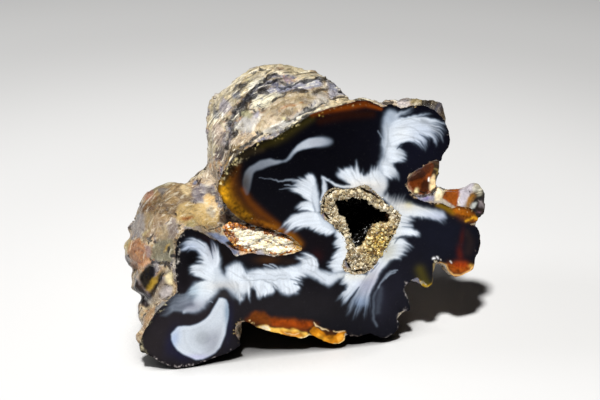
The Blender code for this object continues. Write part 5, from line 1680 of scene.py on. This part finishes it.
def build_rind(rng):
    """The rough stone as a finer skin over the frame's own stone."""
    rind = finer_copy("agate", "rind", RIND_VOXEL, smoothings=3)
    refined(rind)
    refined(rind, LOBE_FACETS_BOX)
    set_points(rind, pulled(points_of(rind)))
    points, out = points_of(rind), normals_of(rind)
    depth = depth_of(points)
    heights, cracks, numbers = relief_of(points, depth)
    pixels, seen = seen_in_picture(points, out)
    drawn, cover, groove, inked = rind_picture(rng)
    keep = sampled(united(area(outline, 0.7) for outline in GLASSY), pixels) * seen

    edge_on = np.abs(out @ np.array(OUT)) < 0.7
    ease = np.maximum(rising(depth, 0.4, 1.6), 0.35 * edge_on) * (1 - 0.9 * keep)
    heights *= 1 - 0.45 * sampled(cover, pixels) * seen
    heights *= 1 - 0.45 * seen * inside_box(pixels, LEFT_SIDE_BOX)
    lines = sampled(groove, pixels) * seen * np.clip(depth / 0.8, 0.3, 1.0)
    points += out * ((heights * ease - lines) * rising(points[:, 2], 0.0, 1.2))[:, None]
    points += np.array(OUT) * np.minimum(depth_of(points) - RIND_FRONT, 0.0)[:, None]
    points[:, 2] = np.maximum(points[:, 2], 0.0)
    set_points(rind, points)

    cracks = np.clip(cracks * np.maximum(ease, 0.3), 0.0, 1.0)
    paint_rind(rind, drawn, cover, keep, cracks, numbers)
    ink = sampled(inked, pixels) * seen * (1 - 0.7 * inside_box(pixels, LEFT_FOLDS_BOX))
    set_values(rind, "ink", ink)
    rind.data.materials.append(rind_material())
    rind.data.materials.append(glass_material())
    glassy = (keep > 0.5) | (underside_shade(points, out) > 0.3)
    corners = np.array([polygon.vertices[0] for polygon in rind.data.polygons])
    rind.data.polygons.foreach_set("material_index", glassy[corners].astype(np.int32))
    smooth_shaded(rind)
    return rind


# The smooth, waxy patches on the horn, which have no streaks.
SMOOTH = [
    (240, 120), (250, 112), (262, 116), (266, 106), (276, 99), (290, 94), (308, 93), (322, 92),
    (330, 98), (316, 106), (300, 113), (286, 122), (272, 133), (256, 135), (240, 136),
]


def flow_along(pixels):
    """Places along and across the growth rings of the horn or the left lobe, and how streaky they are."""
    horn = pixels[:, 0] - pixels[:, 1] * 0.1 > 180
    horn &= (pixels[:, 1] < 178) | (pixels[:, 0] > 250)
    x = pixels[:, 0] - np.where(horn, 330, 215)
    y = (pixels[:, 1] - np.where(horn, 190, 262)) * np.where(horn, 1.15, 0.9)
    turn = np.arctan2(y, x)
    turn = np.where(turn > 0.5 * math.pi, turn - 2 * math.pi, turn)
    streaky = np.where(horn, np.where(pixels[:, 0] > 398, 0.15, 1.0), 0.45)
    return turn * np.where(horn, 110, 70), np.hypot(x, y), streaky


# Colours of the rind away from the patches.
RIND_PALETTE = [
    (196, 178, 142), (150, 146, 158), (120, 122, 146), (168, 140, 104), (206, 192, 162),
    (128, 116, 104), (182, 150, 110), (140, 140, 150),
]


def rind_picture(rng):
    """The patches and lines that the camera sees: colours, how much they cover, grooves in mm, ink."""
    colours, cover, groove = np.zeros(SHAPE + (3,)), np.zeros(SHAPE), np.zeros(SHAPE)
    layers = [(area(outline, 0.7) * strength, colour, 0.0) for outline, colour, strength in RIND_PATCHES]
    breaks = np.clip(0.75 + 0.5 * speckle(rng, 1.6), 0.15, 1.0)
    firm = np.clip(0.95 + 0.35 * speckle(rng, 2.0), 0.3, 1.15)
    layers += [
        (np.clip(stroke(points, widths) * 1.4, 0, 1) * strength * breaks, colour, deep)
        for points, widths, colour, strength, deep in RIND_LINES
    ]
    for over, colour, deep in layers:
        colours = laid_over(colours, linear(*colour), over)
        cover = cover * (1 - over) + over
        groove = groove * (1 - 0.5 * over) + over * deep
    inked = united(
        stroke(points, [1.9 * w for w in widths]) * firm * strength
        for points, widths, colour, strength, _ in RIND_LINES if max(colour) < INK_BELOW
    )
    stack = np.concatenate([colours, np.stack([cover, groove, inked], axis=2)], axis=2)
    stack = warped(stack, rng, [(0.7, 3.0), (0.3, 1.1)])
    return stack[..., :3], stack[..., 3], stack[..., 4], stack[..., 5]


def palette_colours(points, numbers):
    """The rind's own colours: clouds of the palette, stepped from facet to facet."""
    palette = np.array([linear(*colour) for colour in RIND_PALETTE])
    pick = np.array([
        noise.noise(Vector(p) / 7.0 + Vector((5, 5, 5))) + 0.3 * noise.noise(Vector(p) / 2.6)
        for p in points
    ])
    at = np.clip((pick + 0.9 * numbers + 0.75) / 1.5, 0.0, 0.999) * (len(palette) - 1)
    low = at.astype(int)
    part = (at - low)[:, None]
    return palette[low] * (1 - part) + palette[low + 1] * part


def paint_rind(rind, drawn, cover, keep, cracks, numbers):
    """The rind's vertex colours, and the values that its material breaks them up by."""
    points, out = points_of(rind), normals_of(rind)
    pixels, seen = seen_in_picture(points, out)
    x, y = pixels[:, 0], pixels[:, 1]
    painted_part = sampled(cover, pixels) * seen
    plain = (1 - keep)[:, None]
    own = palette_colours(points, numbers)
    colours = own * (1 - painted_part[:, None]) + sampled(drawn, pixels) * seen[:, None]
    colours = colours * (1 - 0.12 * plain) + 0.12 * plain * own
    colours *= 1.0 + plain * (0.6 * numbers)[:, None]
    horn = (rising(y, 172, -20) * rising(x, 345, -20))[:, None]
    bright = np.sqrt(np.clip(colours.mean(axis=1, keepdims=True), 0, 1))
    colours *= 1 - plain * horn * (1 - (0.34 + 0.92 * bright))
    lobe = (rising(x, 240, -15) * rising(y, 172, 15) * seen)[:, None]
    # Painted shade on the left lobe, with a warmer tone as well.
    colours *= 1 - plain * lobe * np.array(LOBE_SHADE)
    # Painted shade: the underside near the floor is darkened almost to black.
    colours *= (1 - 0.95 * underside_shade(points, out))[:, None]
    set_colours(rind, "rind", with_mask(np.clip(colours, 0, 1), keep))

    waxy = np.maximum((lobe * plain)[:, 0], inside_box(pixels, WAXY_BOX) * seen)
    along, across, streaky = flow_along(pixels)
    smooth = sampled(area(SMOOTH, 1.0), pixels)
    set_values(rind, "waxy", waxy * painted_part)
    # How dark the cracks and pits are painted, partly as shade.
    set_values(rind, "cavity", cracks * (1 - keep) * (1 - 0.85 * painted_part))
    set_values(rind, "drawn", painted_part)
    set_vectors(rind, "flow", np.stack([along * 0.052, across * 0.25, 0.05 * depth_of(points)], axis=1))
    set_values(rind, "streaky", painted_part * streaky * (1 - keep) * (1 - 0.92 * smooth))


# ---------------------------------------------------------------- crystals

def crystal_points(root, out, width, length, turn):
    """The 13 corners of a six-sided quartz point."""
    turn_frame = Matrix.Translation(root) @ out.to_track_quat("Z", "Y").to_matrix().to_4x4()
    turn_frame = turn_frame @ Matrix.Rotation(turn, 4, "Z")
    corners = []
    for height, scale in ((-0.6 * length, 1.0), (0.5 * length, 0.95)):
        for side in range(6):
            angle = math.radians(60 * side)
            at = Vector((width * scale * math.cos(angle), width * scale * math.sin(angle), height))
            corners.append(turn_frame @ at)
    corners.append(turn_frame @ Vector((0.08 * width, 0.05 * width, length)))
    return corners


CORNERS = 13
CRYSTAL_FACES = (
    [(side, (side + 1) % 6, 6 + (side + 1) % 6, 6 + side) for side in range(6)]
    + [(6 + side, 6 + (side + 1) % 6, 12) for side in range(6)] + [(5, 4, 3, 2, 1, 0)]
)


def build_crystals(name, roots, outs, widths, lengths, colours, rng):
    """Many quartz points joined into one mesh, each of its own colour."""
    points, faces, tints = [], [], []
    for root, out, width, length, colour in zip(roots, outs, widths, lengths, colours):
        base = len(points)
        points += crystal_points(Vector(root), Vector(out), width, length, rng.uniform(0, 1))
        faces += [tuple(base + i for i in face) for face in CRYSTAL_FACES]
        tints += [colour] * CORNERS
    obj = add_mesh(name, [tuple(p) for p in points], faces)
    set_colours(obj, "crystal", np.array(tints))
    return obj


def scattered_on(obj, count, rng, keep):
    """Points in mm spread over the faces of an object that are kept, with the faces' normals."""
    mesh = obj.data
    mesh.calc_loop_triangles()
    corners = np.empty(len(mesh.loop_triangles) * 3, np.int32)
    mesh.loop_triangles.foreach_get("vertices", corners)
    corners = points_of(obj)[corners.reshape(-1, 3)]
    cross = np.cross(corners[:, 1] - corners[:, 0], corners[:, 2] - corners[:, 0])
    areas = np.linalg.norm(cross, axis=1) / 2
    normals = cross / (2 * areas[:, None] + 1e-12)
    areas = areas * keep(corners.mean(axis=1), normals)
    pick = rng.choice(len(areas), count, p=areas / areas.sum())
    a, b = rng.random(count), rng.random(count)
    over = a + b > 1
    a[over], b[over] = 1 - a[over], 1 - b[over]
    chosen = corners[pick]
    points = chosen[:, 0] + a[:, None] * (chosen[:, 1] - chosen[:, 0])
    points += b[:, None] * (chosen[:, 2] - chosen[:, 0])
    return points, normals[pick]


BEIGE = [(206, 192, 158), (176, 156, 118), (228, 218, 194), (140, 118, 84)]
GOLD = [(214, 180, 84), (176, 134, 52), (244, 226, 150), (112, 82, 30)]
# The near-black of the painted shade in the pocket, and the brown of one patch in it.
POCKET_SHADE_COLOUR, BROWN = (9, 6, 5), (96, 54, 18)


def near_pixel(pixels, x, y, wide, high, reach):
    """1 round a pixel, falling to 0 at a reach of its half-widths."""
    return np.clip(reach - np.hypot((pixels[:, 0] - x) / wide, (pixels[:, 1] - y) / high), 0, 1)


def pocket_colours(pixels, depth, rng):
    """Beige to the left and above, golden at the lower right, with painted shade further in and over the
    hole, brown at its right; the mask is how deep that shade is.
    """
    pick = rng.integers(0, 4, len(pixels))
    beige = np.array([linear(*colour) for colour in BEIGE])[pick]
    gold = np.array([linear(*colour) for colour in GOLD])[pick]
    golden = near_pixel(pixels, 380, 244, 22, 26, 1.2)[:, None]
    colours = beige * (1 - golden) + gold * golden
    hollow = sampled(area(POCKET_HOLE, 0.8), pixels) * rising(depth, 0.5, 0.8)
    # Painted shade: deeper in the pocket and over the hole.
    pocket_shade = np.minimum(np.maximum(rising(depth, 3.0, 5.0), hollow), 0.985)[:, None]
    brown = near_pixel(pixels, 388, 217, 9, 6, 1.3)[:, None]
    dark = linear(*POCKET_SHADE_COLOUR) * (1 - brown) + linear(*BROWN) * brown
    return np.concatenate([colours * (1 - pocket_shade) + dark * pocket_shade, pocket_shade * (1 - brown)], axis=1)


CUP_VOXEL = 0.3
POCKET_CENTRE = from_face(along_face([(362, 228)]), 4.0)[0]
POCKET_POINTS = 2600
FRINGE_GRAINS = 1500
GLINTS = [(356, 252), (357, 251.5)]  # one bright facet that catches the light


def bumpy_cup(rng):
    """The pocket's wall of fused quartz."""
    cup = finer_copy("pocket_crystals", "druse_bed", CUP_VOXEL)
    points, out = points_of(cup), normals_of(cup)
    bumps = np.array([
        0.5 - noise.voronoi(Vector(p) / 1.1)[0][0] + 0.5 * noise.noise(Vector(p) / 0.5) for p in points
    ])
    points += out * (0.38 * bumps)[:, None]
    points += np.array(OUT) * np.minimum(depth_of(points) + 0.25, 0.0)[:, None]
    set_points(cup, points)
    set_colours(cup, "crystal", pocket_colours(to_pixels(points), depth_of(points), rng))
    return cup


def towards_centre(points):
    towards = POCKET_CENTRE - points
    return towards / np.linalg.norm(towards, axis=1)[:, None]


def pocket_points(cup, rng):
    """Crystals on the inside of the pocket's wall: roots, directions, widths, lengths and colours."""
    hole = area(POCKET_HOLE, 0.6)

    def inner(middles, normals):
        shown = sampled(hole, to_pixels(middles)) < 0.5
        facing = (normals * towards_centre(middles)).sum(axis=1) > 0.25
        return shown & (facing | (depth_of(middles) < 0.3))

    roots, normals = scattered_on(cup, POCKET_POINTS, rng, inner)
    outs = normals * 0.5 + towards_centre(roots) * 0.4 + rng.normal(0, 0.5, normals.shape)
    depth = depth_of(roots)
    outs[depth < 0.4] += np.array(OUT) * 0.5
    sizes = rng.uniform(0.10, 0.26, len(roots)) + 0.22 * rng.random(len(roots)) ** 5
    sizes *= 1 + 0.5 * (depth > 1.5)
    tints = pocket_colours(to_pixels(roots), depth, rng)
    tints[:, :3] *= rng.uniform(0.45, 1.35, len(roots))[:, None]
    lengths = sizes * rng.uniform(1.4, 2.8, len(roots))
    lengths = np.where(depth < 1.0, np.minimum(lengths, 0.75), lengths)
    return roots, outs, sizes, lengths, tints


def rim_fringe(rng):
    """The grains that close the pocket's rim, and its one bright facet, as pocket_points gives them."""
    places = rng.random(FRINGE_GRAINS)
    rim = polyline(POCKET_RIM + POCKET_RIM[:1], places) + rng.normal(0, 0.9, (FRINGE_GRAINS, 2))
    roots = from_face(along_face(rim), rng.uniform(0.12, 0.4, FRINGE_GRAINS))
    roots = np.concatenate([roots, from_face(along_face(GLINTS), 0.3)])
    outs = np.array(OUT) * 0.5 + rng.normal(0, 0.6, roots.shape)
    sizes = rng.uniform(0.08, 0.2, len(roots))
    lengths = rng.uniform(0.12, 0.3, len(roots))
    tints = pocket_colours(to_pixels(roots), np.zeros(len(roots)), rng)
    tints[:, :3] *= rng.uniform(0.4, 1.2, len(roots))[:, None]
    sizes[-len(GLINTS):] = 0.3
    tints[-len(GLINTS):, :3] = 1.0
    return roots, outs, sizes, lengths, tints


def build_druse(rng):
    """The pocket's crust: a bumpy cup of fused quartz with many points on it."""
    cup = bumpy_cup(rng)
    joined = [np.concatenate(pair) for pair in zip(pocket_points(cup, rng), rim_fringe(rng))]
    return cup, build_crystals("druse_points", *joined, rng)


# The ledge in the notch: all of it, its pale core, and its rusty cracks with their half-widths.
LEDGE_AREA = [
    (227, 236), (224, 229), (230, 225), (238, 226), (247, 229), (258, 231), (270, 233), (282, 237),
    (294, 242), (300, 249), (292, 254), (282, 257), (270, 254), (262, 253), (256, 256), (246, 253),
    (238, 249),
]
LEDGE_CORE = [
    (235, 234), (240, 230.5), (250, 231.5), (262, 233), (276, 238), (290, 242), (297, 248),
    (288, 254), (274, 254), (262, 251), (248, 251), (239, 244),
]
LEDGE_CRACKS = [
    ([(236, 228), (246, 230.5), (254, 232), (264, 232), (276, 236), (290, 239.5)],
     [0.5, 0.9, 1.0, 0.8, 1.0, 0.7]),
    ([(226, 232), (230, 238), (236, 243)], [0.8, 0.9, 0.7]),
    ([(243, 246), (252, 249), (262, 251.5)], [0.5, 0.8, 0.5]),
    ([(258, 240), (266, 243), (272, 244)], [0.4, 0.5, 0.4]),
    ([(248, 237), (256, 236)], [0.4, 0.4]),
    ([(276, 243), (284, 246), (290, 246)], [0.4, 0.6, 0.5]),
    ([(262, 255), (274, 257), (286, 256)], [0.8, 0.9, 0.7]),
]


LEDGE_TRIES = 9000  # crystals strewn over the ledge's box, of which those inside its outline stay
CREAM = [(255, 252, 232), (255, 246, 214), (248, 232, 186), (255, 250, 236)]
RUST = [(196, 118, 32), (164, 88, 22), (222, 162, 72), (100, 46, 16)]
OLIVE, CRACK_BROWN = (150, 106, 24), (112, 58, 18)


def ledge_colours(pixels, rng):
    """Cream in the core, rust in streaks round it, olive at the right end and brown cracks."""
    pick = rng.integers(0, 4, len(pixels))
    cream = np.array([linear(*colour) for colour in CREAM])[pick]
    rust = np.array([linear(*colour) for colour in RUST])[pick]
    streak = np.array([
        noise.noise(Vector((x / 9.0 + y / 30.0, (y - 0.2 * x) / 2.2, 2.0)))
        + 0.5 * noise.noise(Vector((x / 4.0, y / 2.0, 6.0))) for x, y in pixels
    ])
    core = sampled(area(LEDGE_CORE, 1.2), pixels)
    rusty = np.clip((streak + 0.5 - 1.0 * core) * 4.0, 0, 1)[:, None]
    olive = near_pixel(pixels, 297, 245, 7, 7, 1.2)[:, None]
    colours = cream * (1 - rusty) + rust * rusty
    colours = colours * (1 - olive) + linear(*OLIVE) * olive
    cracks = united(stroke(points, widths) for points, widths in LEDGE_CRACKS)
    stain = 0.85 * np.clip(sampled(cracks, pixels) * 1.2, 0, 1)[:, None]
    colours = colours * (1 - stain) + stain * linear(*CRACK_BROWN)
    return colours * rng.uniform(0.8, 1.12, len(pixels))[:, None]


def build_ledge(rng):
    """The sugary ledge of the notch: a heap of crystals."""
    places = along_face(LEDGE_AREA)
    found = rng.uniform(places.min(axis=0), places.max(axis=0), (LEDGE_TRIES, 2))
    found = found[inside_outline(*found.T, places)]
    lumps = np.array([
        noise.noise(Vector((u / 2.2, v / 1.4, 0.0))) + 0.9 * noise.noise(Vector((u / 2.4 + v, v / 0.5, 4.0)))
        for u, v in found
    ])
    roots = from_face(found, 1.25 - 0.5 * lumps + rng.uniform(-0.1, 0.1, len(found)))
    outs = np.array(OUT) * 0.8 + np.array(UP) * 0.9 + rng.normal(0, 0.4, (len(found), 3))
    tints = with_mask(ledge_colours(to_pixels(from_face(found)), rng), np.zeros(len(found)))
    sizes = rng.uniform(0.16, 0.4, len(found))
    return build_crystals("ledge_crystals", roots, outs, sizes, sizes * 0.9, tints, rng)


# ---------------------------------------------------------------- putting it together

rng = np.random.default_rng(SEED)

white, light = drawn_plumes(rng)
ground = painted(GROUND, GLOWS, TINTS)
plume_colours = painted(PLUME_WHITE, [], PLUME_TINTS)
thin = np.clip(1.0 - white, 0.0, 1.0)[..., None]
plume_colours *= light[..., None] * (1.0 - thin * (1.0 - np.array(THIN_WHITE)))

ground = slabs(rng, grained(rng, ground))
ground, white = chipped_edges(rng, ground, white)

plate = build_polished_face()
pixels = to_pixels(points_of(plate))
set_colours(plate, "ground", with_mask(sampled(ground, pixels), np.ones(len(pixels))))
set_colours(plate, "plumes", with_mask(sampled(plume_colours, pixels), sampled(white, pixels)))
plate.data.materials.append(polished_material())

rind = build_rind(rng)

druse_bed, druse = build_druse(rng)
sugar = crystal_material("druse_quartz", 0.6)
druse_bed.data.materials.append(sugar)
druse.data.materials.append(sugar)
ledge = build_ledge(rng)
ledge.data.materials.append(crystal_material("ledge_quartz", 0.3))

for piece in (plate, rind, ledge):
    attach(piece, "root")
    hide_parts("agate")
for piece in (druse_bed, druse):
    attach(piece, "root")
    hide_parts("pocket_crystals")


# ---------------------------------------------------------------- floor, light and camera

FLOOR_REACH = 1.6  # m to each side
LIGHT_POOL_CENTRE = (0.0, 0.02, 0.0)  # the brightest place of the floor's painted pool of light, in m
# The floor's colour by its distance from there, a painted pool of light that fades to near black, 1 being at
# 0.625 m.
GREYS_PER_METRE = 1.6
LIGHT_POOL_GREYS = [
    (0.0, 0.76), (0.13, 0.70), (0.30, 0.56), (0.46, 0.48), (0.7, 0.08), (1.0, (0.02, 0.02, 0.022)),
]


def build_floor():
    """A pale table top with a painted pool of light that darkens away from the stone, and painted shade in
    the nooks beneath it.
    """
    mesh = bpy.data.meshes.new("floor")
    corners = [(-1, -1, 0), (1, -1, 0), (1, 1, 0), (-1, 1, 0)]
    mesh.from_pydata([Vector(corner) * FLOOR_REACH for corner in corners], [], [(0, 1, 2, 3)])
    obj = bpy.data.objects.new("floor", mesh)
    bpy.context.scene.collection.objects.link(obj)
    net = Nodes("pale_floor")
    place = net.add("ShaderNodeTexCoord").outputs["Object"]
    place = net.add("ShaderNodeVectorMath", {0: place, 1: LIGHT_POOL_CENTRE}, operation="SUBTRACT")
    away = net.add("ShaderNodeVectorMath", {0: place.outputs[0]}, operation="LENGTH")
    away = net.math("MULTIPLY", away.outputs["Value"], GREYS_PER_METRE)
    # Painted pool of light: the floor's colour fades with distance from the stone.
    fade = net.ramp(away, LIGHT_POOL_GREYS, smooth=True)
    colour = net.mix(net.math("MULTIPLY", net.noise(0.4, 3.0), 0.03), fade, (0.7, 0.7, 0.7))
    # Painted shade: the floor darkens almost to black where the stone crowds round it.
    nook_shade = net.add("ShaderNodeAmbientOcclusion", {"Distance": 0.02}, samples=8).outputs["AO"]
    colour = net.stained(colour, (0.01, 0.008, 0.01), nook_shade, [(0.30, 0.9), (0.62, 0.0)])
    mesh.materials.append(net.finish(colour, 0.75, Specular_IOR_Level=0.1))


LIGHTS_MEET = (0.0, 0.0, 0.02)


def add_light(name, place, size, power, colour):
    """A round light, with its place and size in m, that faces the stone."""
    data = bpy.data.lights.new(name, "AREA")
    data.shape = "DISK"
    data.size = size
    data.energy = power
    data.color = colour
    obj = bpy.data.objects.new(name, data)
    obj.location = place
    obj.rotation_mode = "QUATERNION"
    obj.rotation_quaternion = (Vector(LIGHTS_MEET) - Vector(place)).to_track_quat("-Z", "Y")
    bpy.context.scene.collection.objects.link(obj)


build_floor()
add_light("key", (-0.19, -0.41, 0.89), 0.09, 13.8, (1.0, 0.99, 0.97))
add_light("fill", (-0.80, 0.25, 0.50), 0.25, 2.0, (0.95, 0.97, 1.0))

world = bpy.data.worlds.new("studio")
world.use_nodes = True
background = world.node_tree.nodes["Background"]
background.inputs["Color"].default_value = (0.012, 0.012, 0.014, 1.0)
background.inputs["Strength"].default_value = 1.0
bpy.context.scene.world = world
bpy.context.scene.view_settings.view_transform = "Standard"

camera_data = bpy.data.cameras.new("photo_view")
camera_data.lens = LENS
camera_data.sensor_width = SENSOR
camera_data.clip_start = 0.01
camera = bpy.data.objects.new("photo_view", camera_data)
camera.location = CAMERA * MM
camera.rotation_mode = "QUATERNION"
camera.rotation_quaternion = (-BACKWARD).to_track_quat("-Z", "Y")
bpy.context.scene.collection.objects.link(camera)
bpy.context.scene.camera = camera
